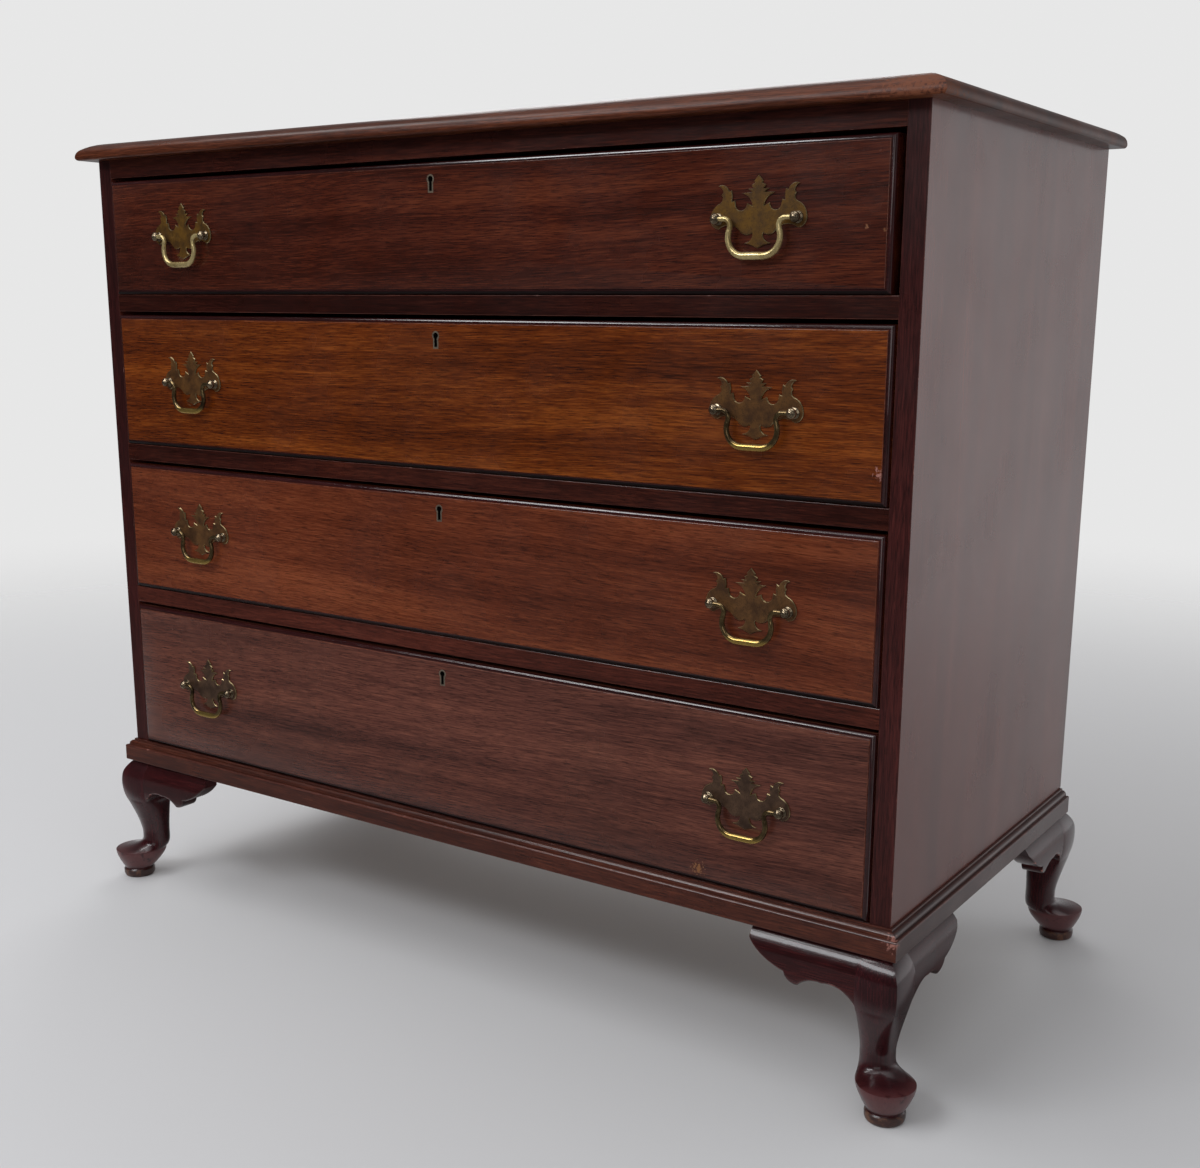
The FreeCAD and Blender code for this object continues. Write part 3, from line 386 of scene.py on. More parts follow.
def seat(piece, body, slot, *stands_for):
    """Let a piece ride on its body and stand for its solids; slot is not used."""
    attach(piece, body)
    if stands_for:
        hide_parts(*stands_for)


def plain(node, finish):
    """A solid that stays as it is and only takes a finish."""
    mesh = nodes[node].data
    mesh.materials.clear()
    mesh.materials.append(finish)


def solid_copy(node):
    """A solid's mesh with its facets joined into whole faces, all in the first finish."""
    build = bmesh.new()
    build.from_mesh(nodes[node].data)
    bmesh.ops.remove_doubles(build, verts=build.verts, dist=1e-6)
    flat = math.radians(0.5)
    bmesh.ops.dissolve_limit(build, angle_limit=flat, verts=build.verts, edges=build.edges)
    for part in build.faces:
        part.material_index = 0
    return build


def ease(build, width, shortest=30, back=math.inf):
    """Ease the arrises over a length and in front of a depth; the eased strips take the second finish."""
    def is_arris(edge):
        kept = edge.calc_length() < shortest * MM or max(end.co.y for end in edge.verts) > back
        return edge.is_manifold and not kept and edge.calc_face_angle_signed() > math.radians(SHARP_ARRIS)

    arrises = [edge for edge in build.edges if is_arris(edge)]
    bmesh.ops.bevel(build, geom=arrises, offset=width * MM, segments=2, profile=0.5, affect="EDGES",
                    material=1, clamp_overlap=True)


def eased(node, body, slot, finishes, width):
    """A solid with eased arrises, in a finish for its faces and one for its arrises."""
    build = solid_copy(node)
    ease(build, width)
    seat(mesh_piece(node + "_eased", build, finishes, FLAT_EDGE), body, slot, node)


def eased_stile(hand):
    """A stile eased at its front; its outer face goes on from the side behind it."""
    node = f"{hand}_stile"
    finishes = [stile_finish, case_edge, side_finish]
    build = solid_copy(node)
    for part in build.faces:
        is_side = abs(part.normal.x) > 0.9
        part.material_index = finishes.index(side_finish if is_side else stile_finish)
    ease(build, ARRIS, back=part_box(node)[0].y + MM)
    piece = mesh_piece(node + "_eased", build, finishes, FLAT_EDGE)
    seat(piece, "carcass", "case_wood", node)


def eased_rails():
    """The rails under the drawers, in tones darkest under the top drawer and lighter further down: painted
    shade; the two lowest share one.
    """
    finishes = [rail_shade_finishes[1], case_edge, rail_shade_finishes[2], rail_shade_finishes[3]]
    build = solid_copy("drawer_rails")
    fronts = [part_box(f"drawer_{k}_front")[0].z for k in DRAWERS]
    for part in build.faces:
        height = part.calc_center_median().z
        rail = sum(bottom > height for bottom in fronts)
        part.material_index = finishes.index(rail_shade_finishes[min(rail, len(rail_shade_finishes))])
    ease(build, SOFT_ARRIS)
    piece = mesh_piece("drawer_rails_eased", build, finishes, FLAT_EDGE)
    seat(piece, "carcass", "case_wood", "drawer_rails")


# Case

eased("top_panel", "carcass", "top_wood", [top_finish, case_edge], ARRIS)
for hand in HANDS:
    plain(f"{hand}_side_panel", side_finish)
    eased_stile(hand)
    eased(f"base_moulding_{hand}", "carcass", "case_wood", [base_side_finish, case_edge], SOFT_ARRIS)
eased("base_moulding_front", "carcass", "case_wood", [base_finish, case_edge], SOFT_ARRIS)
eased("top_rail", "carcass", "case_wood", [rail_shade_finishes[2], case_edge], ARRIS)
eased_rails()
plain("back_panel", back_finish)
plain("web_frames", frame_finish)
plain("dust_panels", frame_finish)
plain("glue_blocks", frame_finish)


# Cabriole legs and knee brackets, drawn in millimetres at the corner of the case over +X and +Y

LEG_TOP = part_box("cabriole_legs")[1].z / MM
LEG_POST = 25
KNEE_TOP, KNEE_SWELL, KNEE_SWELL_DROP = 9.5, 15.8, 30
KNEE_BOTTOM = LEG_TOP - 51.5
KNEE_FALL = KNEE_SWELL - KNEE_TOP
KNEE_RADIUS = (KNEE_SWELL_DROP ** 2 + KNEE_FALL ** 2) / (2 * KNEE_FALL)
KNEE_ROLL, KNEE_ROLL_DEPTH = 7, 20
ANKLE_HEIGHT, ANKLE_RADIUS, ANKLE_BACK = 57.5, 16.3, 15.4
RIM_HEIGHT, RIM_RADIUS, HEEL_REACH = 35.5, 26.9, 34.5
FOOT_MIDDLE = 8
LEG_SIDES = 72
SHANK_EASE, FOOT_FLARE = 1.4, 5.2
GROOVE_HEIGHT, GROOVE_RADIUS = 10.8, 17
# Height and radius down the underside of the foot: rim, bowl, ring groove and pad
FOOT_UNDERSIDE = [
    (34.2, 26.85), (32.4, 26.8), (28, 25.6), (21.5, 22.8), (15.5, 19.7), (12.3, 17.8),
    (GROOVE_HEIGHT, GROOVE_RADIUS), (9.9, 17.6), (8.9, 18.6), (7, 18.8), (3.6, 18.6), (1.6, 18), (0.5, 17),
    (0, 16)]
PAD_ROWS = 7


def knee_offset(height):
    """How far the knee swells past the case, rolling in under the base moulding at its top."""
    above = height - (LEG_TOP - KNEE_SWELL_DROP)
    swell = KNEE_SWELL - KNEE_RADIUS + math.sqrt(KNEE_RADIUS ** 2 - above ** 2)
    roll = max(0, (height - LEG_TOP) / KNEE_ROLL_DEPTH + 1)
    return swell - KNEE_ROLL * roll ** 2


def leg_ring(height, toe, heel, middle, half_width, power):
    """Points round the leg, on a section that goes from square (power 1) to elliptical (power 2)."""
    points = []
    for step in range(LEG_SIDES):
        angle = 2 * math.pi * step / LEG_SIDES
        along, across = math.cos(angle), math.sin(angle)
        reach = (abs(along) ** power + abs(across) ** power) ** (-1 / power)
        depth = toe - middle if along > 0 else middle - heel
        out, side = middle + along * reach * depth, across * reach * half_width
        points.append(Vector(((out + side) / math.sqrt(2), (out - side) / math.sqrt(2), height)) * MM)
    return points


def between(first, second, share):
    """Sizes part of the way from one list to another."""
    return [a + (b - a) * share for a, b in zip(first, second)]


def square(offset):
    """Toe, heel, middle and half width of the knee's square section."""
    root = math.sqrt(2)
    return [offset * root, -LEG_POST * root, (offset - LEG_POST) / root, (offset + LEG_POST) / root]


def leg_rings():
    """Sections from the top of the knee down the shank, over the foot and under it to the floor."""
    knee_steps, shank_steps, foot_steps = 22, 22, 20
    knee_power, shank_power, foot_power = 1.06, 1.18, 2
    crowding, rounding = 1.5, 0.8
    rings = []
    for step in range(knee_steps):
        share = 1 - (1 - step / knee_steps) ** crowding
        height = LEG_TOP + (KNEE_BOTTOM - LEG_TOP) * share
        power = knee_power + (shank_power - knee_power) * share
        rings.append(leg_ring(height, *square(knee_offset(height)), power))
    knee = square(knee_offset(KNEE_BOTTOM))
    ankle = [ANKLE_RADIUS - ANKLE_BACK, -ANKLE_RADIUS - ANKLE_BACK, -ANKLE_BACK, ANKLE_RADIUS]
    rim = [FOOT_MIDDLE + RIM_RADIUS, FOOT_MIDDLE - HEEL_REACH, FOOT_MIDDLE, RIM_RADIUS]
    for step in range(shank_steps):
        share = step / shank_steps
        lean = 1 - (1 - share) ** SHANK_EASE
        height = KNEE_BOTTOM + (ANKLE_HEIGHT - KNEE_BOTTOM) * share
        power = shank_power + (foot_power - shank_power) * share ** rounding
        rings.append(leg_ring(height, *between(knee, ankle, lean), power))
    for step in range(foot_steps + 1):
        share = step / foot_steps
        height = ANKLE_HEIGHT + (RIM_HEIGHT - ANKLE_HEIGHT) * share
        rings.append(leg_ring(height, *between(ankle, rim, share ** FOOT_FLARE), foot_power))
    for height, radius in FOOT_UNDERSIDE:
        heel = radius
        if height > GROOVE_HEIGHT:
            heel += (HEEL_REACH - RIM_RADIUS) * (radius - GROOVE_RADIUS) / (RIM_RADIUS - GROOVE_RADIUS)
        toe, back = FOOT_MIDDLE + radius, FOOT_MIDDLE - heel
        rings.append(leg_ring(height, toe, back, FOOT_MIDDLE, radius, foot_power))
    return rings


def skin(build, rings, edge_steps=(), edge_rows=()):
    """A closed skin over rings of points; some steps round a ring and some rows take the second finish."""
    rows = [[build.verts.new(point) for point in ring] for ring in rings]
    for row, (first, second) in enumerate(zip(rows, rows[1:])):
        for i in range(len(first)):
            part = build.faces.new([first[i - 1], first[i], second[i], second[i - 1]])
            part.material_index = 1 if i in edge_steps or row in edge_rows else 0
    build.faces.new(rows[0])
    build.faces.new(rows[-1])


def arc(start, via, end, steps):
    """Points of the arc from start through via to end, without its start."""
    (ax, ay), (bx, by), (cx, cy) = start, via, end
    a, b, c = ax ** 2 + ay ** 2, bx ** 2 + by ** 2, cx ** 2 + cy ** 2
    d = 2 * (ax * (by - cy) + bx * (cy - ay) + cx * (ay - by))
    ux = (a * (by - cy) + b * (cy - ay) + c * (ay - by)) / d
    uy = (a * (cx - bx) + b * (ax - cx) + c * (bx - ax)) / d
    first, middle, last = (math.atan2(y - uy, x - ux) for x, y in (start, via, end))
    turn = (last - first) % (2 * math.pi)
    if (middle - first) % (2 * math.pi) > turn:
        turn -= 2 * math.pi
    radius = math.hypot(ax - ux, ay - uy)
    angles = [first + turn * (i + 1) / steps for i in range(steps)]
    return [(ux + radius * math.cos(angle), uy + radius * math.sin(angle)) for angle in angles]


BRACKET_BACK, BRACKET_TUCK = 8, 9
BRACKET_RUN = 134 - LEG_POST
# Radius of the rounded lower edge, and the heights above that edge at which it is drawn
BRACKET_ROUND = 2.4
ROUND_STEPS = 0, 0.3, 0.8, 1.5, BRACKET_ROUND


def bracket_outline():
    """The scroll-cut lower edge: pairs of distance from the leg's post and height."""
    def at(share, drop):
        return share * BRACKET_RUN, LEG_TOP - drop

    start, end = (0, KNEE_BOTTOM), at(1, 12)
    crown, lobe, step = at(0.3, 36.5), at(0.53, 45.5), at(0.65, 35)
    outline = [(-BRACKET_TUCK, KNEE_BOTTOM), start]
    outline += arc(start, at(0.09, 40.2), crown, 14)
    outline += arc(crown, at(0.445, 38.7), lobe, 8)
    outline += arc(lobe, at(0.62, 42), step, 8)
    outline += arc(step, at(0.86, 25), end, 12)
    return outline


def bracket_rings():
    """Closed sections along a bracket: up its swelling face, back at the top, and down its flat back."""
    rise_steps, crowding = 14, 1.3
    rings = []
    for along, low in bracket_outline():
        section = []
        for gap in ROUND_STEPS:
            inward = BRACKET_ROUND - math.sqrt(BRACKET_ROUND ** 2 - (BRACKET_ROUND - gap) ** 2)
            section.append((knee_offset(low + gap) - inward, low + gap))
        start = low + BRACKET_ROUND
        for step in range(1, rise_steps + 1):
            height = LEG_TOP - (LEG_TOP - start) * (1 - step / rise_steps) ** crowding
            section.append((knee_offset(height), height))
        section += [(-BRACKET_BACK, LEG_TOP), (-BRACKET_BACK, low)]
        rings.append([Vector((-LEG_POST - along, out, height)) * MM for out, height in section])
    return rings


stile_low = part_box("left_stile")[0]
CASE_CORNERS = [(-stile_low.x, -stile_low.y), (stile_low.x, -stile_low.y), (stile_low.x, stile_low.y),
                (-stile_low.x, stile_low.y)]


def whole(build):
    """All that is drawn so far."""
    return build.verts[:] + build.edges[:] + build.faces[:]


def points_of(geometry):
    """The points among points, edges and faces."""
    return [item for item in geometry if isinstance(item, bmesh.types.BMVert)]


def at_corners(build):
    """Turn what is drawn at one corner of the case to all four."""
    drawn = whole(build)
    copies = [drawn] + [bmesh.ops.duplicate(build, geom=drawn)["geom"] for corner in CASE_CORNERS[1:]]
    for number, (geometry, (x, y)) in enumerate(zip(copies, CASE_CORNERS)):
        placed = Matrix.Translation((x, y, 0)) @ Matrix.Rotation(math.radians(90 * number), 4, "Z")
        bmesh.ops.transform(build, matrix=placed, verts=points_of(geometry))
    bmesh.ops.recalc_face_normals(build, faces=build.faces)


leg_build = bmesh.new()
sections = leg_rings()
skin(leg_build, sections, edge_rows=range(len(sections) - PAD_ROWS, len(sections)))
at_corners(leg_build)
legs = mesh_piece("cabriole_legs_shaped", leg_build, [leg_finish, pad_finish])
seat(legs, "carcass", "leg_wood", "cabriole_legs")

bracket_build = bmesh.new()
skin(bracket_build, bracket_rings(), range(1, len(ROUND_STEPS)))
mirrored = bmesh.ops.duplicate(bracket_build, geom=whole(bracket_build))["geom"]
across_the_corner = Matrix(((0, 1, 0, 0), (1, 0, 0, 0), (0, 0, 1, 0), (0, 0, 0, 1)))
bmesh.ops.transform(bracket_build, matrix=across_the_corner, verts=points_of(mirrored))
at_corners(bracket_build)
bracket_build.normal_update()
bracket_finishes = [bracket_finish, bracket_edge, bracket_end_finish]
# Brackets on the ends of the chest have their grain along the end, and a duller polish
for part in bracket_build.faces:
    if part.material_index == 0 and abs(part.normal.x) > abs(part.normal.y):
        part.material_index = bracket_finishes.index(bracket_end_finish)
brackets = mesh_piece("knee_brackets_scrolled", bracket_build, bracket_finishes)
seat(brackets, "carcass", "leg_wood", "knee_brackets")


# Drawers

FRONT_MOULDING, SHORTEST_FRONT_ARRIS = 4.9, 60


def moulded_front(k):
    """A drawer front with its moulded border in a darker polish than the face, and painted shade on its faces
    that look down.
    """
    node = f"drawer_{k}_front"
    low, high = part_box(node)
    border = FRONT_MOULDING * MM
    face, strip, moulded, shaded_below = range(4)
    build = solid_copy(node)
    for part in build.faces:
        at = part.calc_center_median()
        inside = low.x + border < at.x < high.x - border and low.z + border < at.z < high.z - border
        is_edge = abs(part.normal.y) < 0.02
        part.material_index = face if inside or is_edge else moulded
    ease(build, FRONT_ARRIS, shortest=SHORTEST_FRONT_ARRIS)
    # Border and eased faces that look down take the near-black finish: painted shade.
    for part in build.faces:
        looks_down = part.normal.z < -0.2
        if looks_down and part.material_index in (strip, moulded):
            part.material_index = shaded_below
    finishes = [front_finishes[k], arris_wear_and_highlight, moulding_finish, underside_shade_moulding]
    piece = mesh_piece(node + "_eased", build, finishes, FLAT_EDGE)
    seat(piece, f"drawer_{k}", "front_wood", node)


def shaded_keyhole(k):
    """A lock in brass, painted near-black between the rim of its keyhole and its plate inside the drawer:
    painted shade in the keyhole.
    """
    node = f"drawer_{k}_lock"
    plain(node, lock_finish)
    mesh = nodes[node].data
    mesh.materials.append(keyhole_shade_finish)
    rim, plate = (corner.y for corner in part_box(node))
    for part in mesh.polygons:
        part.material_index = 1 if rim + MM < part.center.y < plate - MM else 0


for k in DRAWERS:
    moulded_front(k)
    for part, finish in (("sides", side_lining), ("back", cross_lining), ("bottom", cross_lining)):
        plain(f"drawer_{k}_{part}", finish)
    shaded_keyhole(k)
    plain(f"drawer_{k}_lock_bolt", lock_finish)


# Pulls: back plates, turned posts and swinging bails

PLATE_THICKNESS, PLATE_EDGE, MITRE_LIMIT = 1.6, 0.55, 0.5
PLATE_TOP, PLATE_FOOT, PLATE_REACH = 34.6, -24, 45.6
# Half the plate's outline from its top tip: a pair ends a straight run, two pairs are an arc's middle and end
PLATE_HALF = [
    (0, PLATE_TOP), (3.8, 30.3), (2.6, 28.9), (6.2, 26.9), (4.1, 23.7), (9, 23.9), (5.2, 21.1), (14.5, 20.7),
    ((8.2, 17), (4.8, 9.4)), (10.5, 12), ((16, 6), (22.4, 12.8)), (22.9, 14.4), (26, 13.6), (25.4, 18.6),
    (26.1, 22.9), (28.3, 21.9), ((31.3, 26.2), (37.9, 27.3)), ((34.6, 25), (33.6, 21.6)), (35, 19.8),
    (33.8, 18), (34.4, 14.6), (36.6, 12.8), ((42.4, 8.9), (PLATE_REACH, 0)), ((43.4, -5.5), (38, -7.8)),
    ((27, -4.6), (17.2, -9.1)), ((11, -13), (5.2, -11.1)), (4.3, -13), ((6, -17.4), (11.7, -20.3)),
    (6.4, -21.2), (0, PLATE_FOOT)]
PLATE_ARC_STEPS = 7


def plate_outline():
    """The whole outline, clockwise seen from the front."""
    right = [PLATE_HALF[0]]
    for run in PLATE_HALF[1:]:
        if hasattr(run[0], "__len__"):
            right += arc(right[-1], run[0], run[1], PLATE_ARC_STEPS)
        else:
            right.append(run)
    return [Vector(point) for point in right] + [Vector((-x, z)) for x, z in right[-2:0:-1]]


def spread(outline, distance):
    """An outline moved outward by a distance, along the bisector of each corner."""
    points = []
    for before, at, after in zip(outline[-1:] + outline, outline, outline[1:] + outline[:1]):
        normals = [Vector((-step.y, step.x)).normalized() for step in (at - before, after - at)]
        bisector = (normals[0] + normals[1]).normalized()
        points.append(at + bisector * distance / max(bisector.dot(normals[0]), MITRE_LIMIT))
    return points


def draw_plate(build, centre):
    """A flat plate with a rounded edge, which takes the second finish, a paler brass that is painted
    highlight.
    """
    outline = plate_outline()
    rows = [(outline, 0), (spread(outline, PLATE_EDGE), PLATE_THICKNESS / 2), (outline, PLATE_THICKNESS)]
    rings = [[centre + Vector((at.x, -depth, at.y)) * MM for at in points] for points, depth in rows]
    skin(build, rings, range(len(outline)))


def pull_places(k):
    """The middle of each pull on the face of drawer k."""
    low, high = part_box(f"drawer_{k}_pull_plates")
    height = (high.z + low.z) / 2 - (PLATE_TOP + PLATE_FOOT) / 2 * MM
    reach = PLATE_REACH * MM
    middles = {"left": low.x + reach, "right": high.x - reach}
    return {hand: Vector((x, high.y, height)) for hand, x in middles.items()}


# Node trees that turn posts, bend bails and set fasteners

def new_tree(name, inputs):
    """A tree with a mesh in, a mesh out, and named inputs for its sizes and finish."""
    tree = bpy.data.node_groups.new(name, "GeometryNodeTree")
    tree.interface.new_socket("Geometry", in_out="INPUT", socket_type="NodeSocketGeometry")
    identifiers = {}
    for label, kind in inputs.items():
        identifiers[label] = tree.interface.new_socket(label, in_out="INPUT", socket_type=kind).identifier
    tree.interface.new_socket("Geometry", in_out="OUTPUT", socket_type="NodeSocketGeometry")
    source = tree.nodes.new("NodeGroupInput")
    result = tree.nodes.new("NodeGroupOutput")
    return tree, identifiers, source.outputs, result.inputs[0]


def finish_tree(tree, geometry, source, result):
    """Every tree ends in real geometry, smooth, in its finish."""
    real = add(tree, "GeometryNodeRealizeInstances", sockets={"Geometry": geometry}).outputs[0]
    smooth = add(tree, "GeometryNodeSetShadeSmooth", sockets={"Geometry": real}).outputs[0]
    coated = add(tree, "GeometryNodeSetMaterial", sockets={"Geometry": smooth, "Material": source["Finish"]})
    tree.links.new(coated.outputs[0], result)


def grown(name, tree, identifiers, values, points, edges=(), sharp=50):
    """Run a tree on a few points, or on a line through them, and keep the result as a plain mesh."""
    seed = bpy.data.meshes.new(name + "_points")
    seed.from_pydata(points, edges, [])
    carrier = bpy.data.objects.new(name + "_carrier", seed)
    bpy.context.scene.collection.objects.link(carrier)
    modifier = carrier.modifiers.new("shape", "NODES")
    modifier.node_group = tree
    for label, value in values.items():
        modifier[identifiers[label]] = value
    depsgraph = bpy.context.evaluated_depsgraph_get()
    mesh = bpy.data.meshes.new_from_object(carrier.evaluated_get(depsgraph))
    mesh.name = name
    bpy.data.objects.remove(carrier)
    shade(mesh, sharp)
    piece = bpy.data.objects.new(name, mesh)
    bpy.context.scene.collection.objects.link(piece)
    return piece


def radius_curve(tree, share, stations):
    """A radius that follows named stations along a length."""
    made = add(tree, "ShaderNodeFloatCurve", sockets={"Value": share})
    points = made.mapping.curves[0].points
    while len(points) < len(stations):
        points.new(0.5, 0.5)
    for point, (place, radius) in zip(points, stations):
        point.location = (place, radius)
        point.handle_type = "AUTO_CLAMPED"
    made.mapping.update()
    return made.outputs[0]


def swept(tree, line, sides, radius):
    """A round rod along a line, with a radius that may change on the way."""
    circle = add(tree, "GeometryNodeCurvePrimitiveCircle", sockets={
        "Resolution": sides, "Radius": 1}).outputs[0]
    return add(tree, "GeometryNodeCurveToMesh", sockets={
        "Curve": line, "Profile Curve": circle, "Scale": radius, "Fill Caps": True}).outputs[0]


# Share of the post's length and of its collar's radius: collar, neck, ball and button
POST_TURNING = [
    (0, 1), (0.1, 1), (0.16, 0.78), (0.24, 0.58), (0.32, 0.62), (0.42, 0.82), (0.56, 0.93), (0.7, 0.88),
    (0.82, 0.68), (0.88, 0.5), (0.94, 0.4), (1, 0.05)]
POST_STEPS, POST_SIDES = 48, 24
BAIL_STEPS, BAIL_SIDES, BEND_STEPS = 120, 16, 10
# The grip is what hangs more than this many millimetres below the pivot
GRIP_BELOW = 10
HEAD_TAPER = 0.86


def post_tree():
    """A turned post that stands out towards -Y from each point."""
    tree, names, source, result = new_tree("turned_posts", {
        "Length": "NodeSocketFloat", "Radius": "NodeSocketFloat", "Finish": "NodeSocketMaterial"})
    tip = sums(tree, "MULTIPLY", source["Length"], -1)
    end = add(tree, "ShaderNodeCombineXYZ", sockets={"Y": tip}).outputs[0]
    axis = add(tree, "GeometryNodeCurvePrimitiveLine", sockets={"End": end}).outputs[0]
    axis = add(tree, "GeometryNodeResampleCurve", sockets={"Curve": axis, "Count": POST_STEPS}).outputs[0]
    share = add(tree, "GeometryNodeSplineParameter").outputs["Factor"]
    radius = sums(tree, "MULTIPLY", radius_curve(tree, share, POST_TURNING), source["Radius"])
    posts = add(tree, "GeometryNodeInstanceOnPoints", sockets={
        "Points": source["Geometry"], "Instance": swept(tree, axis, POST_SIDES, radius)}).outputs[0]
    finish_tree(tree, posts, source, result)
    return tree, names


def bail_tree():
    """A rod bent round the corners of a line, swelling at the middle of the grip."""
    tree, names, source, result = new_tree("swan_neck_bail", {
        "Middle": "NodeSocketFloat", "Half grip": "NodeSocketFloat", "Rod radius": "NodeSocketFloat",
        "Swell": "NodeSocketFloat", "Top bend": "NodeSocketFloat", "Grip bend": "NodeSocketFloat",
        "Pivot height": "NodeSocketFloat", "Finish": "NodeSocketMaterial"})
    line = add(tree, "GeometryNodeMeshToCurve", sockets={"Mesh": source["Geometry"]}).outputs[0]
    position = add(tree, "GeometryNodeInputPosition").outputs[0]
    spot = add(tree, "ShaderNodeSeparateXYZ", sockets={"Vector": position}).outputs
    grip_top = sums(tree, "SUBTRACT", source["Pivot height"], GRIP_BELOW * MM)
    hangs = sums(tree, "LESS_THAN", spot["Z"], grip_top)
    wider = sums(tree, "SUBTRACT", source["Grip bend"], source["Top bend"])
    bend = sums(tree, "MULTIPLY_ADD", hangs, wider, source["Top bend"])
    line = add(tree, "GeometryNodeFilletCurve", {"mode": "POLY"}, {
        "Curve": line, "Radius": bend, "Count": BEND_STEPS}).outputs[0]
    line = add(tree, "GeometryNodeResampleCurve", sockets={"Curve": line, "Count": BAIL_STEPS}).outputs[0]
    off = sums(tree, "ABSOLUTE", sums(tree, "SUBTRACT", spot["X"], source["Middle"]))
    near = sums(tree, "SUBTRACT", 1, sums(tree, "DIVIDE", off, source["Half grip"]))
    near = sums(tree, "MULTIPLY", hangs, sums(tree, "MAXIMUM", near, 0))
    swelling = sums(tree, "SINE", sums(tree, "MULTIPLY", near, math.pi / 2))
    radius = sums(tree, "MULTIPLY_ADD", swelling, source["Swell"], source["Rod radius"])
    finish_tree(tree, swept(tree, line, BAIL_SIDES, radius), source, result)
    return tree, names


def fastener_tree():
    """A low nut, nail head or screw head at each point, facing +Y."""
    tree, names, source, result = new_tree("fasteners", {
        "Radius": "NodeSocketFloat", "Height": "NodeSocketFloat", "Sides": "NodeSocketInt",
        "Finish": "NodeSocketMaterial"})
    tip = sums(tree, "MULTIPLY", source["Radius"], HEAD_TAPER)
    head = add(tree, "GeometryNodeMeshCone", sockets={
        "Vertices": source["Sides"], "Radius Top": tip, "Radius Bottom": source["Radius"],
        "Depth": source["Height"]}).outputs[0]
    heads = add(tree, "GeometryNodeInstanceOnPoints", sockets={
        "Points": source["Geometry"], "Instance": head, "Rotation": (-math.pi / 2, 0, 0)}).outputs[0]
    finish_tree(tree, heads, source, result)
    return tree, names


POSTS, BAIL, FASTENERS = post_tree(), bail_tree(), fastener_tree()
POST_HALF_SPACING, POST_REACH, POST_HEAD, POST_COLLAR = 38, 5.9, 4.5, 5.1
BAIL_TOP_X, BAIL_GRIP_X, BAIL_DROP = 21.6, 29.3, 30.9
BAIL_ROD, BAIL_SWELL, BAIL_TOP_BEND, BAIL_GRIP_BEND = 2.3, 1, 6, 15.5
BAIL_CORNERS = [
    (-POST_HALF_SPACING, 0), (-BAIL_TOP_X, 0), (-BAIL_GRIP_X, -BAIL_DROP),
    (BAIL_GRIP_X, -BAIL_DROP), (BAIL_TOP_X, 0), (POST_HALF_SPACING, 0)]
# How far up from its lowest bend a grip is rubbed bright
GRIP_RUB = 5
# Radius, height and sides of each fastener's head
NUT, NAIL, SCREW = (4.6, 2.6, 6), (2.3, 0.7, 12), (2.6, 0.8, 16)
SCREW_INSET, LOW_SCREW, HIGH_SCREW = 6, 6, 24


def fasteners(name, size, points, body):
    """Heads of one size (radius, height and sides) on points of a face that looks towards +Y."""
    radius, height, sides = size
    points = [point + Vector((0, height / 2, 0)) * MM for point in points]
    sizes = {"Radius": radius * MM, "Height": height * MM, "Sides": sides, "Finish": iron_finish}
    seat(grown(name, *FASTENERS, sizes, points, sharp=25), body, "plate_brass")


def lock_screws(k):
    """Four screws through the lock's plate, seen inside the drawer."""
    low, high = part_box(f"drawer_{k}_lock")
    columns = low.x + SCREW_INSET * MM, high.x - SCREW_INSET * MM
    rows = low.z + LOW_SCREW * MM, low.z + HIGH_SCREW * MM
    points = [Vector((x, high.y, z)) for x in columns for z in rows]
    fasteners(f"drawer_{k}_lock_screws", SCREW, points, f"drawer_{k}")


def bail_finish(k):
    """Brass painted pale all over on the top drawer, standing for the brighter light falling there: painted
    light; brown on the others but for the grip.
    """
    if k == 1:
        # The top drawer's pale brass is a lit copy of the brown brass: painted light.
        return brass("bail_1_brass", tone(156, 134, 86), tone(222, 200, 144), 0.24, 0.68, 0.2)
    grip_height = pull_places(k)["left"].z - BAIL_DROP * MM
    return brass(f"bail_{k}_brass", tone(68, 54, 36), tone(134, 112, 76), 0.17, 0.85, 0.3,
                 grip=(grip_height + GRIP_RUB * MM, grip_height))


def sawn_plates(k):
    """The back plates of both pulls."""
    plates = bmesh.new()
    for place in pull_places(k).values():
        draw_plate(plates, place)
    bmesh.ops.recalc_face_normals(plates, faces=plates.faces)
    finishes = [plate_finishes[k], plate_rim_highlight_finish]
    piece = mesh_piece(f"drawer_{k}_pull_plates_sawn", plates, finishes, sharp=20)
    seat(piece, f"drawer_{k}", "plate_brass", f"drawer_{k}_pull_plates")


def turned_posts(k):
    """Four posts through the front, and their nuts inside the drawer."""
    points = [
        place + Vector((side * POST_HALF_SPACING, -PLATE_THICKNESS, 0)) * MM
        for place in pull_places(k).values() for side in HANDS.values()]
    sizes = {"Length": (POST_REACH + POST_HEAD) * MM, "Radius": POST_COLLAR * MM, "Finish": post_finish}
    piece = grown(f"drawer_{k}_pull_posts_turned", *POSTS, sizes, points)
    seat(piece, f"drawer_{k}", "plate_brass", f"drawer_{k}_pull_posts")
    inner_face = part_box(f"drawer_{k}_front")[1].y
    nut_points = [Vector((at.x, inner_face, at.z)) for at in points]
    fasteners(f"drawer_{k}_pull_nuts", NUT, nut_points, f"drawer_{k}")


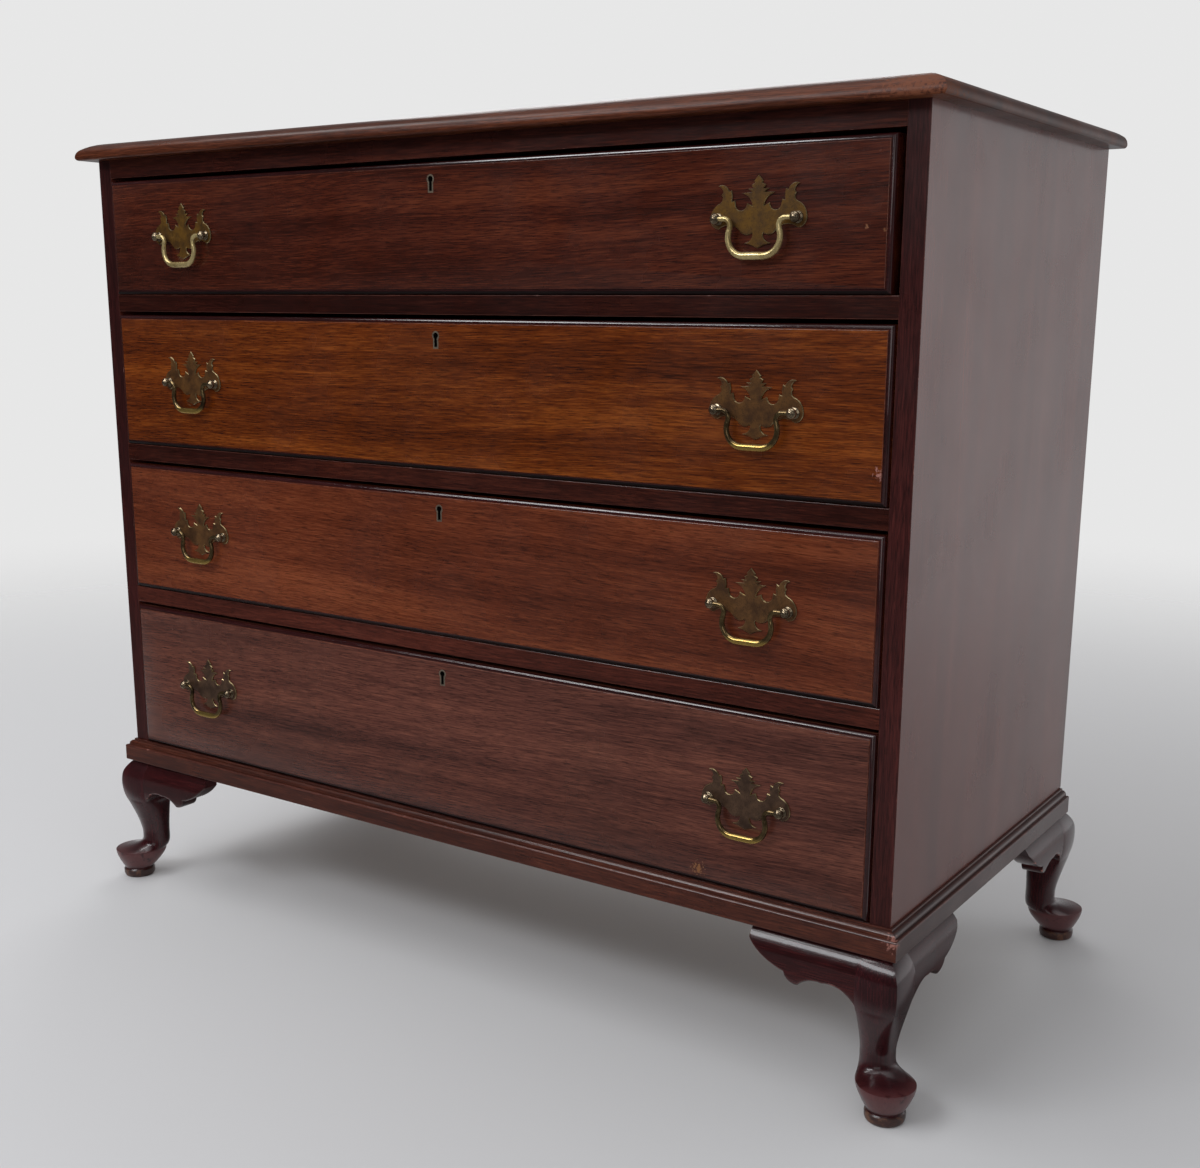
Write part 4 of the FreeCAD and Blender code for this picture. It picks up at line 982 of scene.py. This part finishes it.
def round_bails(k):
    """A bail on each pair of posts, hung on the line between them."""
    finish = bail_finish(k)
    for hand, place in pull_places(k).items():
        pivot = place + Vector((0, -PLATE_THICKNESS - POST_REACH, 0)) * MM
        points = [pivot + Vector((x, 0, z)) * MM for x, z in BAIL_CORNERS]
        edges = [(i, i + 1) for i in range(len(points) - 1)]
        sizes = {
            "Middle": pivot.x, "Half grip": BAIL_GRIP_X * MM, "Rod radius": BAIL_ROD * MM,
            "Swell": BAIL_SWELL * MM, "Top bend": BAIL_TOP_BEND * MM, "Grip bend": BAIL_GRIP_BEND * MM,
            "Pivot height": pivot.z, "Finish": finish}
        piece = grown(f"drawer_{k}_bail_{hand}_round", *BAIL, sizes, points, edges)
        seat(piece, f"drawer_{k}_{hand}_bail", "bail_brass", f"drawer_{k}_bail_{hand}")


for k in DRAWERS:
    sawn_plates(k)
    turned_posts(k)
    lock_screws(k)
    round_bails(k)


# Nails along the edges of the back

back_low, back_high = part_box("back_panel")
NAIL_INSET, NAIL_ROWS, NAIL_COLUMNS = 5 * MM, 7, 9
side_edges = back_low.x + NAIL_INSET, back_high.x - NAIL_INSET
end_edges = back_low.z + 2 * NAIL_INSET, back_high.z - 2 * NAIL_INSET
lowest, highest = back_low.z + 3 * NAIL_INSET, back_high.z - 3 * NAIL_INSET
nail_points = []
for row in range(NAIL_ROWS):
    height = lowest + (highest - lowest) * (row / (NAIL_ROWS - 1))
    nail_points += [Vector((x, back_high.y, height)) for x in side_edges]
for column in range(1, NAIL_COLUMNS):
    x = back_low.x + (back_high.x - back_low.x) * column / NAIL_COLUMNS
    nail_points += [Vector((x, back_high.y, z)) for z in end_edges]
fasteners("back_nails", NAIL, nail_points, "carcass")


# Floor, light and camera

FLOOR_RADIUS, FLOOR_SIDES, FLOOR_ROUGHNESS = 3.5, 96, 0.7
FLOOR_TONE, MIRRORED_TONE = (0.66, 0.655, 0.66, 1), (0.12, 0.12, 0.12, 1)
# From where to where the floor fades away, and from where to where its mirror image dims
FLOOR_FADE = 0.9, 3.3
DIM_FRONT, DIM_BESIDE, DIM_BETWEEN_LEGS = (-0.28, -0.4), (0.67, 0.58), (0.2, 0.1)


def floor_finish():
    """A pale floor that fades into the backdrop, and dims where the chest mirrors it in front and beside."""
    material, tree, shader, place = new_finish("studio_floor")
    spot = add(tree, "ShaderNodeSeparateXYZ", sockets={"Vector": place}).outputs
    front = ranged(tree, spot["Y"], *DIM_FRONT, smooth=True)
    beside = ranged(tree, sums(tree, "ABSOLUTE", spot["X"]), *DIM_BESIDE, smooth=True)
    between_legs = ranged(tree, sums(tree, "ABSOLUTE", spot["Y"]), *DIM_BETWEEN_LEGS, smooth=True)
    beside = sums(tree, "MULTIPLY", beside, between_legs)
    mirrored = add(tree, "ShaderNodeLightPath").outputs["Is Glossy Ray"]
    dim = sums(tree, "MULTIPLY", mirrored, sums(tree, "MAXIMUM", front, beside))
    put(tree, shader.inputs["Base Color"], mixed(tree, dim, FLOOR_TONE, MIRRORED_TONE))
    shader.inputs["Roughness"].default_value = FLOOR_ROUGHNESS
    away = vectors(tree, "LENGTH", place).outputs["Value"]
    fade = ranged(tree, away, *FLOOR_FADE, smooth=True)
    clear = add(tree, "ShaderNodeBsdfTransparent").outputs[0]
    blend = add(tree, "ShaderNodeMixShader", sockets={0: fade, 1: shader.outputs[0], 2: clear}).outputs[0]
    tree.links.new(blend, tree.nodes["Material Output"].inputs["Surface"])
    return material


floor_build = bmesh.new()
bmesh.ops.create_circle(floor_build, cap_ends=True, segments=FLOOR_SIDES, radius=FLOOR_RADIUS)
mesh_piece("floor", floor_build, [floor_finish()])


def lamp(name, place, target, width, depth, power, colour=(1, 1, 1)):
    """A rectangular lamp that looks at a target."""
    light = bpy.data.lights.new(name, "AREA")
    light.shape = "RECTANGLE"
    light.size, light.size_y = width, depth
    light.energy = power
    light.color = colour
    holder = bpy.data.objects.new(name, light)
    holder.location = place
    holder.rotation_euler = (Vector(target) - Vector(place)).to_track_quat("-Z", "Y").to_euler()
    holder.visible_camera = False
    bpy.context.scene.collection.objects.link(holder)


CHEST_MIDDLE = (0, -0.1, 0.45)
lamp("window", (-0.6, -1.95, 1.95), CHEST_MIDDLE, 1.6, 0.5, 22, (0.94, 0.97, 1))
lamp("ceiling_strip", (-1.25, -0.85, 2.5), CHEST_MIDDLE, 2.2, 0.4, 14)
lamp("front_fill", (1.4, -2.8, 1.4), CHEST_MIDDLE, 2.0, 1.6, 8)
lamp("rear_fill", (-1.6, 2.6, 2.0), CHEST_MIDDLE, 1.8, 1.4, 20)


STUDIO_LIGHT, SOFT_LEVEL = (0.97, 0.98, 1, 1), 0.55
BACKDROP_TONE, BACKDROP_LEVEL = (1, 1, 1, 1), 0.8


def backdrop():
    """An even soft light, and the pale backdrop behind the chest that the eye and glossy surfaces see."""
    world = bpy.data.worlds.new("studio")
    world.use_nodes = True
    bpy.context.scene.world = world
    tree = world.node_tree

    def light(colour, strength):
        return add(tree, "ShaderNodeBackground", sockets={"Color": colour, "Strength": strength}).outputs[0]

    direction = add(tree, "ShaderNodeTexCoord").outputs["Generated"]
    towards = add(tree, "ShaderNodeSeparateXYZ", sockets={"Vector": direction}).outputs
    # What is mirrored: bright behind the chest, less so to the left and higher up, with a lit ceiling
    behind = ranged(tree, towards["Y"], -0.35, 0.8, 0.05, 1, smooth=True)
    right = ranged(tree, towards["X"], 0.16, 0.46, 0.42, 1, smooth=True)
    low = ranged(tree, towards["Z"], 0.1, 0.45, 1, 0.3, smooth=True)
    ceiling = ranged(tree, towards["Z"], 0.72, 0.95, 0, 1.2, smooth=True)
    overhead = ranged(tree, towards["Z"], 0.94, 0.99, 0, 2, smooth=True)
    level = sums(tree, "MULTIPLY", sums(tree, "MULTIPLY", behind, right), low)
    level = sums(tree, "ADD", sums(tree, "ADD", level, ceiling), overhead)
    path = add(tree, "ShaderNodeLightPath").outputs
    mirrored = sums(tree, "MAXIMUM", path["Is Glossy Ray"], path["Is Transmission Ray"])
    blend = add(tree, "ShaderNodeMixShader", sockets={
        0: mirrored, 1: light(STUDIO_LIGHT, SOFT_LEVEL), 2: light(STUDIO_LIGHT, level)}).outputs[0]
    blend = add(tree, "ShaderNodeMixShader", sockets={
        0: path["Is Camera Ray"], 1: blend, 2: light(BACKDROP_TONE, BACKDROP_LEVEL)}).outputs[0]
    tree.links.new(blend, tree.nodes["World Output"].inputs["Surface"])


backdrop()

# The camera: image size, focal length and centre in pixels, then its place and the way it is turned
IMAGE_WIDTH, IMAGE_HEIGHT = 1200, 1168
FOCAL_PIXELS = 1480.08
CENTRE_X, CENTRE_Y = 601.63, 637.21
SENSOR = 36
CAMERA_PLACE = (0.98270, -1.38279, 0.71635)
CAMERA_RIGHT = (0.82482714, 0.56536952, 0.00418299)
CAMERA_UP = (-0.12810069, 0.17967192, 0.97535031)
CAMERA_BACK = (0.55068177, -0.80503124, 0.2206225)
camera_data = bpy.data.cameras.new("camera")
camera_data.sensor_width = SENSOR
camera_data.lens = FOCAL_PIXELS * SENSOR / IMAGE_WIDTH
camera_data.shift_x = (IMAGE_WIDTH / 2 - CENTRE_X) / IMAGE_WIDTH
camera_data.shift_y = (CENTRE_Y - IMAGE_HEIGHT / 2) / IMAGE_WIDTH
camera = bpy.data.objects.new("camera", camera_data)
facing = Matrix((CAMERA_RIGHT, CAMERA_UP, CAMERA_BACK)).transposed().to_4x4()
camera.matrix_world = Matrix.Translation(CAMERA_PLACE) @ facing
bpy.context.scene.collection.objects.link(camera)
bpy.context.scene.camera = camera
bpy.context.scene.view_settings.view_transform = "Standard"
